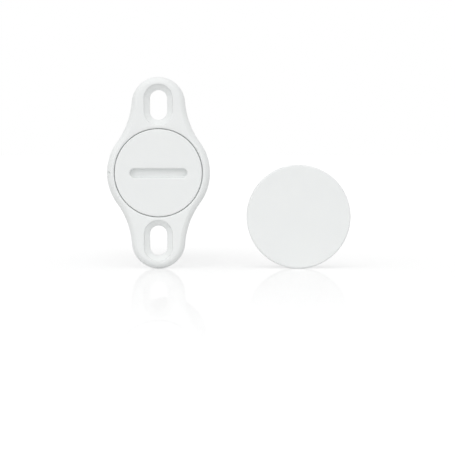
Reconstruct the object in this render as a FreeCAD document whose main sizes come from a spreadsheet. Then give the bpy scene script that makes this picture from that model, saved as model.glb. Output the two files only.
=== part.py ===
import FreeCAD, Part
import Sketcher
import math
import os
from FreeCAD import Vector

# A recessed door sensor: a flanged barrel that is let into a drilled hole and screwed to the
# door's edge, with a coin-slot battery cap, and the magnet half that goes into the frame.
# Sizes are in millimetres. The barrel's axis is Y and the front faces look along -Y. The origin
# is on that axis, at the flange's back face, midway between the two screw slots.

doc = FreeCAD.newDocument("recessed_entry_sensor")

# Driving dimensions: name, size, what it is
SIZES = (
    ("cell_diameter", 15.6, "photo lithium cell, over its sleeve"),
    ("cell_length", 27.0, "over the positive button"),
    ("cell_drop", 0.8, "cell axis below the barrel axis"),
    ("cell_front_gap", 0.15, "button to the cap contact"),
    ("cell_bore_gap", 0.15, "round the cell in its carrier"),
    ("cell_edge_radius", 0.6, "rounding of the can"),
    ("sleeve_thickness", 0.1, "film round the can"),
    ("sleeve_gap", 0.03, "film to the can"),
    ("button_diameter", 6.2, "positive button"),
    ("button_height", 1.0, "above the can"),
    ("button_edge_radius", 0.4, "rounding of the button"),
    ("ring_width", 2.1, "insulator round the button"),
    ("ring_thickness", 0.3, "insulator"),
    ("barrel_wall", 1.2, "wall of the long bore; the barrel goes into a 22 mm hole"),
    ("barrel_lead_length", 1.2, "lead-in at the closed end"),
    ("barrel_lead_step", 0.5, "how far the lead-in draws in"),
    ("rib_count", 6, "crush ribs round each barrel"),
    ("rib_radius", 0.5, "section of a crush rib"),
    ("rib_height", 0.15, "how far a rib stands out"),
    ("rib_start", 2.5, "behind the flange"),
    ("rib_length", 30.0, "along the long barrel"),
    ("mouth_clearance", 0.3, "round the cell in the barrel's mouth"),
    ("mouth_lead", 0.7, "slope from the mouth to the long bore"),
    ("flange_thickness", 2.6, "front face to back face"),
    ("flange_rim", 1.68, "cap counterbore to the flange's side"),
    ("flange_flank_radius", 18.5, "hollow flanks between middle and ends"),
    ("flange_edge_radius", 1.15, "rounding of the front edge"),
    ("flange_end_land", 0.48, "countersink to the rounded edge at each end"),
    ("flange_end_rise", 0.3, "centre of each round end beyond the middle of its slot"),
    ("screw_slot_width", 4.0, "clears a 3.5 mm screw"),
    ("screw_slot_length", 6.9, "end to end"),
    ("screw_slot_land", 0.64, "cap counterbore to the countersink"),
    ("countersink_reach", 1.37, "width and depth of the 45 degree countersink"),
    ("mark_diameter", 0.6, "alignment dimple in the flange's edge"),
    ("mark_inset", 0.6, "dimple centre from the flange's side"),
    ("mark_depth", 0.5, "dimple floor below the front face"),
    ("cap_overhang", 1.15, "head over the mouth, where it seats"),
    ("cap_gap", 0.17, "ring gap round the head"),
    ("cap_thickness", 1.95, "head, front face to underside"),
    ("cap_seat_gap", 0.05, "underside to the counterbore's seat"),
    ("cap_edge_radius", 0.25, "rounding of the head"),
    ("cap_web", 3.8, "solid middle, front face to the hollow"),
    ("skirt_gap", 0.1, "running gap of the threaded skirt in the mouth"),
    ("skirt_wall", 1.6, "wall of the skirt"),
    ("skirt_length", 5.35, "head underside to the skirt's end"),
    ("skirt_overhang", 0.3, "skirt's end beyond the mouth's land"),
    ("coin_slot_length", 13.15, "end to end"),
    ("coin_slot_width", 2.2, "takes a coin's edge"),
    ("coin_slot_depth", 1.2, "below the front face"),
    ("coin_slot_edge", 0.35, "rounding of the slot's rim"),
    ("seal_wire", 0.8, "section of the sealing ring"),
    ("seal_gap", 0.06, "round the sealing ring"),
    ("seal_side_gap", 0.1, "each side of the sealing ring"),
    ("seal_groove_start", 0.75, "below the head"),
    ("contact_thickness", 0.3, "stamped contacts"),
    ("contact_inset", 0.3, "cap contact inside the skirt's outside"),
    ("finger_count", 3, "spring fingers cut in the cap contact"),
    ("finger_radius", 4.6, "centre line of the cut"),
    ("finger_cut", 0.5, "width of the cut"),
    ("finger_sweep", 84.0, "degrees that each cut goes round"),
    ("post_diameter", 2.0, "stake that holds the cap contact"),
    ("post_root", 1.0, "how much wider the stake is at its root, each side"),
    ("post_height", 0.25, "stake above the skirt's end"),
    ("spring_wire", 0.6, "negative spring"),
    ("spring_room", 4.75, "cell to the rear contact plate"),
    ("spring_gap", 0.1, "spring to the cell"),
    ("spring_large_radius", 5.6, "at the plate"),
    ("spring_small_radius", 2.6, "at the cell"),
    ("spring_turns", 3.5, "in the cone, in half turns"),
    ("plate_rim", 0.6, "rear contact plate beyond the spring's wire"),
    ("plate_tab_width", 3.0, "tab up to the board"),
    ("carrier_floor", 0.75, "carrier under the cell"),
    ("carrier_gap", 0.1, "round the carrier in the barrel"),
    ("carrier_front_gap", 0.55, "carrier behind the cap contact"),
    ("carrier_ledge", 0.9, "under each long edge of the board"),
    ("carrier_opening_depth", 2.2, "opening below the board"),
    ("partition_thickness", 1.2, "behind the rear contact plate"),
    ("bay_wall", 1.2, "carrier round the bay behind the partition"),
    ("board_thickness", 0.8, "circuit board"),
    ("board_lift", 0.2, "board above the cell"),
    ("board_inset", 0.12, "board's upper edges inside the carrier's round"),
    ("board_edge_gap", 0.1, "board to the carrier's side walls"),
    ("board_front_gap", 1.9, "board behind the cap contact"),
    ("board_end_gap", 0.5, "board to the rear plug"),
    ("board_corner", 0.8, "corner chamfers"),
    ("aerial_hole", 0.9, "hole for the aerial's lead"),
    ("switch_width", 3.4, "reset switch"),
    ("switch_length", 2.2, "reset switch"),
    ("switch_height", 1.1, "reset switch"),
    ("plunger_width", 1.2, "reset plunger"),
    ("plunger_height", 0.7, "reset plunger"),
    ("plunger_reach", 0.7, "out of the switch"),
    ("plunger_tail", 0.6, "inside the switch"),
    ("plunger_travel", 0.25, "press"),
    ("plunger_gap", 0.06, "round the plunger"),
    ("plunger_edge", 0.15, "rounding of its tip"),
    ("leaf_side_gap", 0.3, "positive leaf to the reset switch"),
    ("leaf_width", 1.8, "positive leaf"),
    ("leaf_thickness", 0.15, "positive leaf"),
    ("leaf_gap", 0.25, "leaf tip to the cap contact"),
    ("leaf_foot", 2.2, "soldered foot on the board"),
    ("leaf_drop", 0.7, "tip reaches below the board's top"),
    ("leaf_bend", 0.45, "inside radius of the bend"),
    ("light_side_gap", 0.5, "status light to the reset switch"),
    ("light_setback", 0.4, "status light behind the board's front edge"),
    ("light_width", 1.6, "status light"),
    ("light_length", 0.8, "status light"),
    ("light_height", 0.55, "status light"),
    ("light_edge", 0.12, "rounding of its lens"),
    ("reed_room", 1.34, "reset switch to the reed switch's first lead"),
    ("reed_length", 9.0, "glass of the reed switch"),
    ("reed_diameter", 1.3, "glass of the reed switch"),
    ("reed_wall", 0.2, "glass wall"),
    ("reed_seal", 1.0, "solid glass at each end"),
    ("reed_edge_radius", 0.3, "rounding of the glass ends"),
    ("reed_lead_diameter", 0.4, "leads of the reed switch"),
    ("reed_lead_reach", 1.6, "leads beyond the glass"),
    ("blade_overlap", 0.8, "blades past each other"),
    ("blade_gap", 0.08, "between the blades"),
    ("blade_thickness", 0.12, "flattened blades"),
    ("blade_width", 0.5, "flattened blades"),
    ("chip_room", 2.2, "reed switch's last lead to the first chips"),
    ("chip_length", 1.0, "chip capacitor"),
    ("chip_width", 0.5, "chip capacitor"),
    ("chip_height", 0.5, "chip capacitor"),
    ("chip_pitch", 2.4, "between chip capacitors"),
    ("chip_across", 3.0, "each row of chips from the axis"),
    ("chip_count", 4, "chips in each row"),
    ("shield_start", 1.6, "radio shield behind the partition"),
    ("shield_width", 7.6, "radio shield"),
    ("shield_length", 8.4, "radio shield"),
    ("shield_height", 1.8, "radio shield"),
    ("shield_wall", 0.2, "radio shield"),
    ("shield_edge", 0.3, "rounding of the shield"),
    ("processor_side", 5.0, "microcontroller"),
    ("processor_height", 0.85, "microcontroller"),
    ("processor_corner", 0.4, "microcontroller's key corner"),
    ("crystal_gap", 0.4, "crystal behind the shield"),
    ("crystal_width", 2.5, "crystal"),
    ("crystal_length", 1.6, "crystal"),
    ("crystal_height", 0.7, "crystal"),
    ("crystal_across", 2.2, "crystal from the axis"),
    ("crystal_corner_radius", 0.3, "crystal"),
    ("reservoir_gap", 0.1, "capacitor behind the crystal"),
    ("reservoir_diameter", 4.0, "reservoir capacitor"),
    ("reservoir_length", 5.6, "reservoir capacitor"),
    ("reservoir_edge", 0.35, "rounding of its can"),
    ("aerial_gap", 0.3, "end of the coil behind the shield"),
    ("aerial_wire", 0.6, "helical aerial"),
    ("aerial_radius", 2.5, "centre line of the coil"),
    ("aerial_pitch", 1.15, "turn to turn"),
    ("aerial_turns", 7.5, "in the coil, in half turns"),
    ("aerial_drop", 1.5, "coil axis below the barrel axis"),
    ("aerial_tip", 0.4, "lead above the board"),
    ("rear_room", 0.7, "capacitor to the rear plug"),
    ("plug_thickness", 2.0, "rear plug"),
    ("plug_gap", 0.05, "glue line round the rear plugs"),
    ("plug_edge", 0.4, "chamfer of the rear plugs"),
    ("plug_spigot", 0.8, "step that holds the carrier"),
    ("plug_recess_diameter", 13.0, "hollow in the rear plug's face"),
    ("plug_recess_depth", 0.8, "hollow in the rear plug's face"),
    ("magnet_across", 32.4, "magnet half beside the sensor"),
    ("disc_rim", 1.2, "magnet half's face beyond its barrel"),
    ("disc_thickness", 2.2, "magnet half's face"),
    ("disc_edge_radius", 0.35, "rounding of its edge"),
    ("stub_length", 9.0, "magnet half's barrel"),
    ("stub_rib_length", 4.5, "crush ribs on the short barrel"),
    ("magnet_diameter", 15.0, "disc magnet"),
    ("magnet_thickness", 5.0, "disc magnet"),
    ("magnet_gap", 0.1, "round the magnet"),
    ("magnet_skin", 1.2, "face in front of the magnet"),
    ("magnet_edge", 0.3, "chamfer of the magnet"),
    ("nest_depth", 3.6, "how deep the magnet sits in the cup"),
    ("stub_plug_thickness", 1.8, "magnet half's rear plug"),
    ("plug_boss_diameter", 10.0, "boss that holds the magnet in"),
)

sheet = doc.addObject("Spreadsheet::Sheet", "dim")
for row, (alias, size, note) in enumerate(SIZES, start=1):
    sheet.set("A%d" % row, alias)
    sheet.set("B%d" % row, str(size))
    sheet.set("C%d" % row, note)
    sheet.setAlias("B%d" % row, alias)
doc.recompute()

# Radii worked out from the cell outwards
CAN_RADIUS = "(dim.cell_diameter / 2 - dim.sleeve_thickness - dim.sleeve_gap)"
CELL_BORE_RADIUS = "(dim.cell_diameter / 2 + dim.cell_bore_gap)"
CARRIER_RADIUS = "(%s + dim.cell_drop + dim.carrier_floor)" % CELL_BORE_RADIUS
BORE_RADIUS = "(%s + dim.carrier_gap)" % CARRIER_RADIUS
BARREL_RADIUS = "(%s + dim.barrel_wall)" % BORE_RADIUS
MOUTH_RADIUS = "(dim.cell_diameter / 2 + dim.cell_drop + dim.mouth_clearance)"
SKIRT_RADIUS = "(%s - dim.skirt_gap)" % MOUTH_RADIUS
SEAL_RADIUS = "(%s - dim.seal_gap - dim.seal_wire / 2)" % MOUTH_RADIUS
CAP_RADIUS = "(%s + dim.cap_overhang)" % MOUTH_RADIUS
COUNTERBORE_RADIUS = "(%s + dim.cap_gap)" % CAP_RADIUS

# The flange's outline, worked out from the counterbore and the screw slots
FLANGE_RADIUS = "(%s + dim.flange_rim)" % COUNTERBORE_RADIUS
SLOT_REACH = "(dim.screw_slot_length / 2 + dim.countersink_reach)"
SCREW_HEIGHT = "(%s + dim.screw_slot_land + %s)" % (COUNTERBORE_RADIUS, SLOT_REACH)
END_HEIGHT = "(%s + dim.flange_end_rise)" % SCREW_HEIGHT
END_REACH = "(%s + %s + dim.flange_end_land + dim.flange_edge_radius)" % (SCREW_HEIGHT, SLOT_REACH)
END_RADIUS = "(%s - %s)" % (END_REACH, END_HEIGHT)

# Heights of the circuit board above the barrel's axis, and half its width
BOARD_FOOT = "(dim.cell_diameter / 2 - dim.cell_drop + dim.board_lift)"
BOARD_TOP = "(%s + dim.board_thickness)" % BOARD_FOOT
BOARD_SIDE = "sqrt((%s - dim.board_inset) ^ 2 - %s ^ 2)" % (CARRIER_RADIUS, BOARD_TOP)

# Places along the axis from the flange's back face, worked out from the front to the rear
FRONT = "(-dim.flange_thickness)"
CAP_UNDERSIDE = "(%s + dim.cap_thickness)" % FRONT
CAP_SEAT = "(%s + dim.cap_seat_gap)" % CAP_UNDERSIDE
SEAL_MIDDLE = "(%s + dim.seal_groove_start + dim.seal_side_gap + dim.seal_wire / 2)" \
    % CAP_UNDERSIDE
SKIRT_END = "(%s + dim.skirt_length)" % CAP_UNDERSIDE
MOUTH_END = "(%s - dim.skirt_overhang)" % SKIRT_END
CONTACT_BACK = "(%s + dim.contact_thickness)" % SKIRT_END
CARRIER_FRONT = "(%s + dim.carrier_front_gap)" % CONTACT_BACK
BOARD_FRONT = "(%s + dim.board_front_gap)" % CONTACT_BACK
SWITCH_FRONT = "(%s + dim.plunger_gap)" % BOARD_FRONT
REED_FRONT = "(%s + dim.switch_length + dim.reed_room + dim.reed_lead_reach)" % SWITCH_FRONT
CHIP_FRONT = "(%s + dim.reed_length + dim.reed_lead_reach + dim.chip_room)" % REED_FRONT
BUTTON_TIP = "(%s + dim.cell_front_gap)" % CONTACT_BACK
CAN_FRONT = "(%s + dim.button_height)" % BUTTON_TIP
CAN_BACK = "(%s + dim.cell_length)" % BUTTON_TIP
PLATE_FRONT = "(%s + dim.spring_room)" % CAN_BACK
PLATE_BACK = "(%s + dim.contact_thickness)" % PLATE_FRONT
BAY_FRONT = "(%s + dim.partition_thickness)" % PLATE_BACK
SHIELD_FRONT = "(%s + dim.shield_start)" % BAY_FRONT
SHIELD_BACK = "(%s + dim.shield_length)" % SHIELD_FRONT
COIL_BACK = "(%s + dim.aerial_gap)" % SHIELD_BACK
CRYSTAL_FRONT = "(%s + dim.crystal_gap)" % SHIELD_BACK
RESERVOIR_MIDDLE = "(%s + dim.crystal_length + dim.reservoir_gap + dim.reservoir_diameter / 2)" \
    % CRYSTAL_FRONT
CARRIER_BACK = "(%s + dim.reservoir_diameter / 2 + dim.rear_room)" % RESERVOIR_MIDDLE
BOARD_BACK = "(%s - dim.board_end_gap)" % CARRIER_BACK
PLUG_FRONT = "(%s + dim.plug_spigot)" % CARRIER_BACK
BARREL_BACK = "(%s + dim.plug_thickness)" % PLUG_FRONT

# The magnet half, about its own axis, and where it stands beside the sensor
MAGNET_FRONT = "(dim.magnet_skin - dim.disc_thickness)"
MAGNET_BACK = "(%s + dim.magnet_thickness)" % MAGNET_FRONT
DISC_RADIUS = "(%s + dim.disc_rim)" % BARREL_RADIUS
MAGNET_HEIGHT = "(%s - %s)" % (DISC_RADIUS, END_REACH)

# How near an edge has to lie to a place for it to count as lying there
NEAR = 1e-4


def value(expression):
    """The number that an expression over the sheet comes to."""
    return float(sheet.evalExpression(expression))


def bind(thing, **expressions):
    """Ties properties to expressions over the sheet; a double underscore stands for a dot."""
    for name, expression in expressions.items():
        thing.setExpression(name.replace("__", "."), expression)


def place(thing, across="0", along="0", up="0"):
    """Ties where a thing stands in the part's own frame."""
    bind(thing, Placement__Base__x=across, Placement__Base__y=along, Placement__Base__z=up)


# Sketch helpers

def new_sketch(body, name, role, offset="0"):
    """A sketch on one of the body's own origin planes, moved along its normal."""
    sketch = body.newObject("Sketcher::SketchObject", name)
    plane = next(item for item in body.Origin.OriginFeatures if item.Role == role)
    sketch.AttachmentSupport = [(plane, "")]
    sketch.MapMode = "FlatFace"
    if offset != "0":
        bind(sketch, AttachmentOffset__Base__z=offset)
    return sketch


def face_sketch(body, name, along="0"):
    """A sketch square to the barrel's axis; X runs across and Y runs up. It looks along -Y."""
    return new_sketch(body, name, "XZ_Plane", "0" if along == "0" else "-%s" % along)


def axis_sketch(body, name):
    """A sketch through the barrel's axis; X runs along the axis and Y is the radius."""
    return new_sketch(body, name, "YZ_Plane")


def tie(sketch, constraint, expression):
    """Adds a dimension and ties it to an expression."""
    index = sketch.addConstraint(constraint)
    bind(sketch, **{"Constraints[%d]" % index: expression})


def tie_point(sketch, edge, end, across, up):
    """Ties one point of an edge to its distances from the sketch's origin."""
    for kind, expression, axis in (("DistanceX", across, -2), ("DistanceY", up, -1)):
        if expression == "0":
            sketch.addConstraint(Sketcher.Constraint("PointOnObject", edge, end, axis))
        else:
            dimension = Sketcher.Constraint(kind, -1, 1, edge, end, value(expression))
            tie(sketch, dimension, expression)


def outline(sketch, points):
    """A closed outline of straight edges through points given as pairs of expressions."""
    spots = [Vector(value(across), value(up), 0) for across, up in points]
    edges = []
    for index, spot in enumerate(spots):
        following = spots[(index + 1) % len(spots)]
        edges.append(sketch.addGeometry(Part.LineSegment(spot, following)))
    for index, edge in enumerate(edges):
        following = edges[(index + 1) % len(edges)]
        sketch.addConstraint(Sketcher.Constraint("Coincident", edge, 2, following, 1))
    for edge, (across, up) in zip(edges, points):
        tie_point(sketch, edge, 1, across, up)


def rectangle(sketch, left, right, foot, top):
    """An upright rectangle between four expressions."""
    outline(sketch, ((left, foot), (right, foot), (right, top), (left, top)))


def circle(sketch, across, up, radius):
    """A circle about a point given by two expressions."""
    centre = Vector(value(across), value(up), 0)
    edge = sketch.addGeometry(Part.Circle(centre, Vector(0, 0, 1), value(radius)))
    tie_point(sketch, edge, 3, across, up)
    tie(sketch, Sketcher.Constraint("Radius", edge, value(radius)), radius)


def arc(centre, radius, start, end):
    """An arc for a sketch, from one angle to the other, anticlockwise."""
    return Part.ArcOfCircle(Part.Circle(centre, Vector(0, 0, 1), radius), start, end)


def slot(sketch, across, up, length, width, upright):
    """A slot with round ends about a point, upright or lying."""
    half = value("(%s - %s) / 2" % (length, width))
    radius = value("%s / 2" % width)
    turn = math.pi / 2 if upright else 0.0
    heading = Vector(math.cos(turn), math.sin(turn), 0)
    side = Vector(-heading.y, heading.x, 0)
    middle = Vector(value(across), value(up), 0)
    far = middle + heading * half
    near = middle - heading * half
    far_end = sketch.addGeometry(arc(far, radius, turn - math.pi / 2, turn + math.pi / 2))
    left = sketch.addGeometry(Part.LineSegment(far + side * radius, near + side * radius))
    near_end = sketch.addGeometry(arc(near, radius, turn + math.pi / 2, turn + math.pi * 3 / 2))
    right = sketch.addGeometry(Part.LineSegment(near - side * radius, far - side * radius))
    ring = (far_end, left, near_end, right)
    for index, edge in enumerate(ring):
        following = ring[(index + 1) % len(ring)]
        sketch.addConstraint(Sketcher.Constraint("Tangent", edge, 2, following, 1))
    sketch.addConstraint(Sketcher.Constraint("Equal", far_end, near_end))
    tie(sketch, Sketcher.Constraint("Radius", far_end, radius), "%s / 2" % width)
    for edge, sign in ((far_end, "+"), (near_end, "-")):
        reach = "%s (%s - %s) / 2" % (sign, length, width)
        if upright:
            tie_point(sketch, edge, 3, across, reach if up == "0" else "%s %s" % (up, reach))
        else:
            tie_point(sketch, edge, 3, reach if across == "0" else "%s %s" % (across, reach), up)


# Feature helpers

def new_body(label):
    """A body with a label of its own."""
    body = doc.addObject("PartDesign::Body", label)
    body.Label = label
    return body


def pad(body, sketch, length, backwards=False):
    """Pads a sketch by a length; a face sketch pads towards the front unless backwards."""
    feature = body.newObject("PartDesign::Pad", sketch.Name + "_pad")
    feature.Profile = sketch
    feature.Reversed = backwards
    bind(feature, Length=length)
    doc.recompute()
    return feature


def checked_cut(body, feature):
    """Recomputes a cut and makes sure that it took material away."""
    before = feature.BaseFeature.Shape.Volume
    doc.recompute()
    if not feature.Shape.Volume < before:
        raise RuntimeError("%s cuts nothing" % feature.Label)
    return feature


def pocket(body, sketch, depth):
    """Cuts a sketch away by a depth; a face sketch cuts towards the back."""
    feature = body.newObject("PartDesign::Pocket", sketch.Name + "_cut")
    feature.Profile = sketch
    bind(feature, Length=depth)
    return checked_cut(body, feature)


def revolve(body, sketch):
    """Turns a section once round the barrel's axis."""
    feature = body.newObject("PartDesign::Revolution", sketch.Name + "_turned")
    feature.Profile = sketch
    feature.ReferenceAxis = (sketch, ["H_Axis"])
    feature.Angle = 360.0
    doc.recompute()
    return feature


def groove(body, sketch):
    """Turns a section once round the barrel's axis and cuts it away."""
    feature = body.newObject("PartDesign::Groove", sketch.Name + "_bored")
    feature.Profile = sketch
    feature.ReferenceAxis = (sketch, ["H_Axis"])
    feature.Angle = 360.0
    return checked_cut(body, feature)


def polar(body, feature, sketch, count):
    """Repeats a feature round the axis that is square to its sketch's origin."""
    pattern = body.newObject("PartDesign::PolarPattern", feature.Name + "_ring")
    pattern.Originals = [feature]
    pattern.Axis = (sketch, ["N_Axis"])
    pattern.Angle = 360.0
    bind(pattern, Occurrences=count)
    body.Tip = pattern
    doc.recompute()
    return pattern


def edges_where(feature, test):
    """Names of the edges whose middle and curve pass a test."""
    names = []
    for index, edge in enumerate(feature.Shape.Edges, start=1):
        if test(edge):
            names.append("Edge%d" % index)
    if not names:
        raise RuntimeError("no edge found on %s" % feature.Label)
    return names


def lies_at(edge, along):
    """True where a whole edge lies in the plane at one place along the axis."""
    box = edge.BoundBox
    return abs(box.YMin - along) < NEAR and abs(box.YMax - along) < NEAR


def fillet(body, feature, test, radius):
    """Rounds the edges that pass a test."""
    rounding = body.newObject("PartDesign::Fillet", feature.Name + "_round")
    rounding.Base = (feature, edges_where(feature, test))
    bind(rounding, Radius=radius)
    doc.recompute()
    return rounding


def chamfer(body, feature, test, size):
    """Bevels the edges that pass a test at 45 degrees."""
    bevel = body.newObject("PartDesign::Chamfer", feature.Name + "_bevel")
    bevel.Base = (feature, edges_where(feature, test))
    bind(bevel, Size=size)
    doc.recompute()
    return bevel


def block(name, width, length, height):
    """A rectangular block whose three sides are tied to expressions."""
    box = doc.addObject("Part::Box", name)
    bind(box, Length=width, Width=length, Height=height)
    return box


# Sensor half: the moulded flange and barrel

def flange_outline(sketch):
    """The flange's outline: a round middle, two round ends and four hollow flanks."""
    middle = value(FLANGE_RADIUS)
    end = value(END_RADIUS)
    flank = value("dim.flange_flank_radius")
    lift = value(END_HEIGHT)
    # each flank touches the middle and one end, so its centre is known from both
    height = ((middle + flank) ** 2 - (end + flank) ** 2 + lift ** 2) / (2 * lift)
    out = math.sqrt((middle + flank) ** 2 - height ** 2)
    low = math.atan2(height, out)
    high = math.atan2(height - lift, out)
    origin = Vector(0, 0, 0)
    turn = math.pi
    right = sketch.addGeometry(arc(origin, middle, -low, low))
    ring = [right]
    flank_arc = arc(Vector(out, height, 0), flank, turn + high, turn + low)
    ring.append(sketch.addGeometry(flank_arc))
    ring.append(sketch.addGeometry(arc(Vector(0, lift, 0), end, high, turn - high)))
    flank_arc = arc(Vector(-out, height, 0), flank, -low, -high)
    ring.append(sketch.addGeometry(flank_arc))
    ring.append(sketch.addGeometry(arc(origin, middle, turn - low, turn + low)))
    flank_arc = arc(Vector(-out, -height, 0), flank, high, low)
    ring.append(sketch.addGeometry(flank_arc))
    ring.append(sketch.addGeometry(arc(Vector(0, -lift, 0), end, turn + high, -high)))
    flank_arc = arc(Vector(out, -height, 0), flank, turn - low, turn - high)
    ring.append(sketch.addGeometry(flank_arc))
    flanks = ring[1::2]
    # going round anticlockwise, an outer arc ends at its second point and a flank at its first
    for index, edge in enumerate(ring):
        following = ring[(index + 1) % len(ring)]
        leaving = 1 if edge in flanks else 2
        arriving = 2 if following in flanks else 1
        sketch.addConstraint(Sketcher.Constraint("Tangent", edge, leaving, following, arriving))
    left = ring[4]
    top = ring[2]
    bottom = ring[6]
    sketch.addConstraint(Sketcher.Constraint("Coincident", right, 3, -1, 1))
    sketch.addConstraint(Sketcher.Constraint("Coincident", left, 3, -1, 1))
    tie(sketch, Sketcher.Constraint("Radius", right, middle), FLANGE_RADIUS)
    sketch.addConstraint(Sketcher.Constraint("Equal", right, left))
    tie_point(sketch, top, 3, "0", END_HEIGHT)
    tie_point(sketch, bottom, 3, "0", "-" + END_HEIGHT)
    tie(sketch, Sketcher.Constraint("Radius", top, end), END_RADIUS)
    sketch.addConstraint(Sketcher.Constraint("Equal", top, bottom))
    tie(sketch, Sketcher.Constraint("Radius", flanks[0], flank), "dim.flange_flank_radius")
    for other in flanks[1:]:
        sketch.addConstraint(Sketcher.Constraint("Equal", flanks[0], other))


def barrel_section(sketch, length):
    """The solid half-section of a barrel with a lead-in at its far end."""
    outline(sketch, (
        ("0", "0"),
        ("0", BARREL_RADIUS),
        ("(%s - dim.barrel_lead_length)" % length, BARREL_RADIUS),
        (length, "(%s - dim.barrel_lead_step)" % BARREL_RADIUS),
        (length, "0"),
    ))


def crush_ribs(body, name, length):
    """Low round ribs along a barrel, which grip the drilled hole."""
    sketch = face_sketch(body, name, "dim.rib_start")
    circle(sketch, "0", "(%s + dim.rib_height - dim.rib_radius)" % BARREL_RADIUS,
           "dim.rib_radius")
    rib = pad(body, sketch, length, backwards=True)
    polar(body, rib, sketch, "dim.rib_count")


def make_flange_barrel():
    body = new_body("flange_barrel")
    plate = face_sketch(body, "flange_plate")
    flange_outline(plate)
    flange = pad(body, plate, "dim.flange_thickness")
    front = value(FRONT)
    fillet(body, flange, lambda edge: lies_at(edge, front), "dim.flange_edge_radius")
    section = axis_sketch(body, "barrel_section")
    barrel_section(section, BARREL_BACK)
    revolve(body, section)
    crush_ribs(body, "barrel_rib", "dim.rib_length")
    bore = axis_sketch(body, "barrel_bore")
    outline(bore, (
        (FRONT, "0"),
        (FRONT, COUNTERBORE_RADIUS),
        (CAP_SEAT, COUNTERBORE_RADIUS),
        (CAP_SEAT, MOUTH_RADIUS),
        (MOUTH_END, MOUTH_RADIUS),
        ("(%s + dim.mouth_lead)" % MOUTH_END, BORE_RADIUS),
        (BARREL_BACK, BORE_RADIUS),
        (BARREL_BACK, "0"),
    ))
    groove(body, bore)
    slots = face_sketch(body, "screw_slots", FRONT)
    for height in (SCREW_HEIGHT, "-" + SCREW_HEIGHT):
        slot(slots, "0", height, "dim.screw_slot_length", "dim.screw_slot_width", upright=True)
    cut = pocket(body, slots, "dim.flange_thickness")
    past_the_cap = value(COUNTERBORE_RADIUS)
    slot_side = value("dim.screw_slot_width / 2") + NEAR

    def slot_rim(edge):
        box = edge.BoundBox
        return lies_at(edge, front) and abs(edge.CenterOfMass.z) > past_the_cap \
            and max(abs(box.XMin), abs(box.XMax)) < slot_side

    chamfer(body, cut, slot_rim, "dim.countersink_reach")
    mark = face_sketch(body, "alignment_mark", FRONT)
    circle(mark, "(dim.mark_inset - %s)" % FLANGE_RADIUS, "0", "dim.mark_diameter / 2")
    pocket(body, mark, "dim.mark_depth")
    return body


# Sensor half: the battery cap with its contact and sealing ring

def make_battery_cap():
    body = new_body("battery_cap")
    groove_floor = "(%s - dim.seal_wire / 2 - dim.seal_gap)" % SEAL_RADIUS
    groove_front = "(%s - dim.seal_wire / 2 - dim.seal_side_gap)" % SEAL_MIDDLE
    groove_back = "(%s + dim.seal_wire / 2 + dim.seal_side_gap)" % SEAL_MIDDLE
    skirt_inside = "(%s - dim.skirt_wall)" % SKIRT_RADIUS
    hollow = "(%s + dim.cap_web)" % FRONT
    post = "(dim.post_diameter / 2)"
    post_root = "(%s + dim.post_root)" % post
    post_end = "(%s + dim.post_height)" % SKIRT_END
    section = axis_sketch(body, "cap_section")
    outline(section, (
        (FRONT, "0"),
        (FRONT, CAP_RADIUS),
        (CAP_UNDERSIDE, CAP_RADIUS),
        (CAP_UNDERSIDE, SKIRT_RADIUS),
        (groove_front, SKIRT_RADIUS),
        (groove_front, groove_floor),
        (groove_back, groove_floor),
        (groove_back, SKIRT_RADIUS),
        (SKIRT_END, SKIRT_RADIUS),
        (SKIRT_END, skirt_inside),
        (hollow, skirt_inside),
        (hollow, post_root),
        (SKIRT_END, post_root),
        (SKIRT_END, post),
        (post_end, post),
        (post_end, "0"),
    ))
    turned = revolve(body, section)
    front = value(FRONT)
    fillet(body, turned, lambda edge: lies_at(edge, front), "dim.cap_edge_radius")
    coin = face_sketch(body, "coin_slot", FRONT)
    slot(coin, "0", "0", "dim.coin_slot_length", "dim.coin_slot_width", upright=False)
    cut = pocket(body, coin, "dim.coin_slot_depth")
    reach = value("dim.coin_slot_length / 2") + NEAR

    def coin_rim(edge):
        return lies_at(edge, front) and edge.BoundBox.XMax < reach \
            and edge.BoundBox.XMin > -reach

    fillet(body, cut, coin_rim, "dim.coin_slot_edge")
    return body


def make_cap_seal():
    ring = doc.addObject("Part::Torus", "cap_seal")
    bind(ring, Radius1=SEAL_RADIUS, Radius2="dim.seal_wire / 2")
    ring.Placement.Rotation = FreeCAD.Rotation(Vector(1, 0, 0), -90)
    place(ring, along=SEAL_MIDDLE)
    return ring


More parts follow.
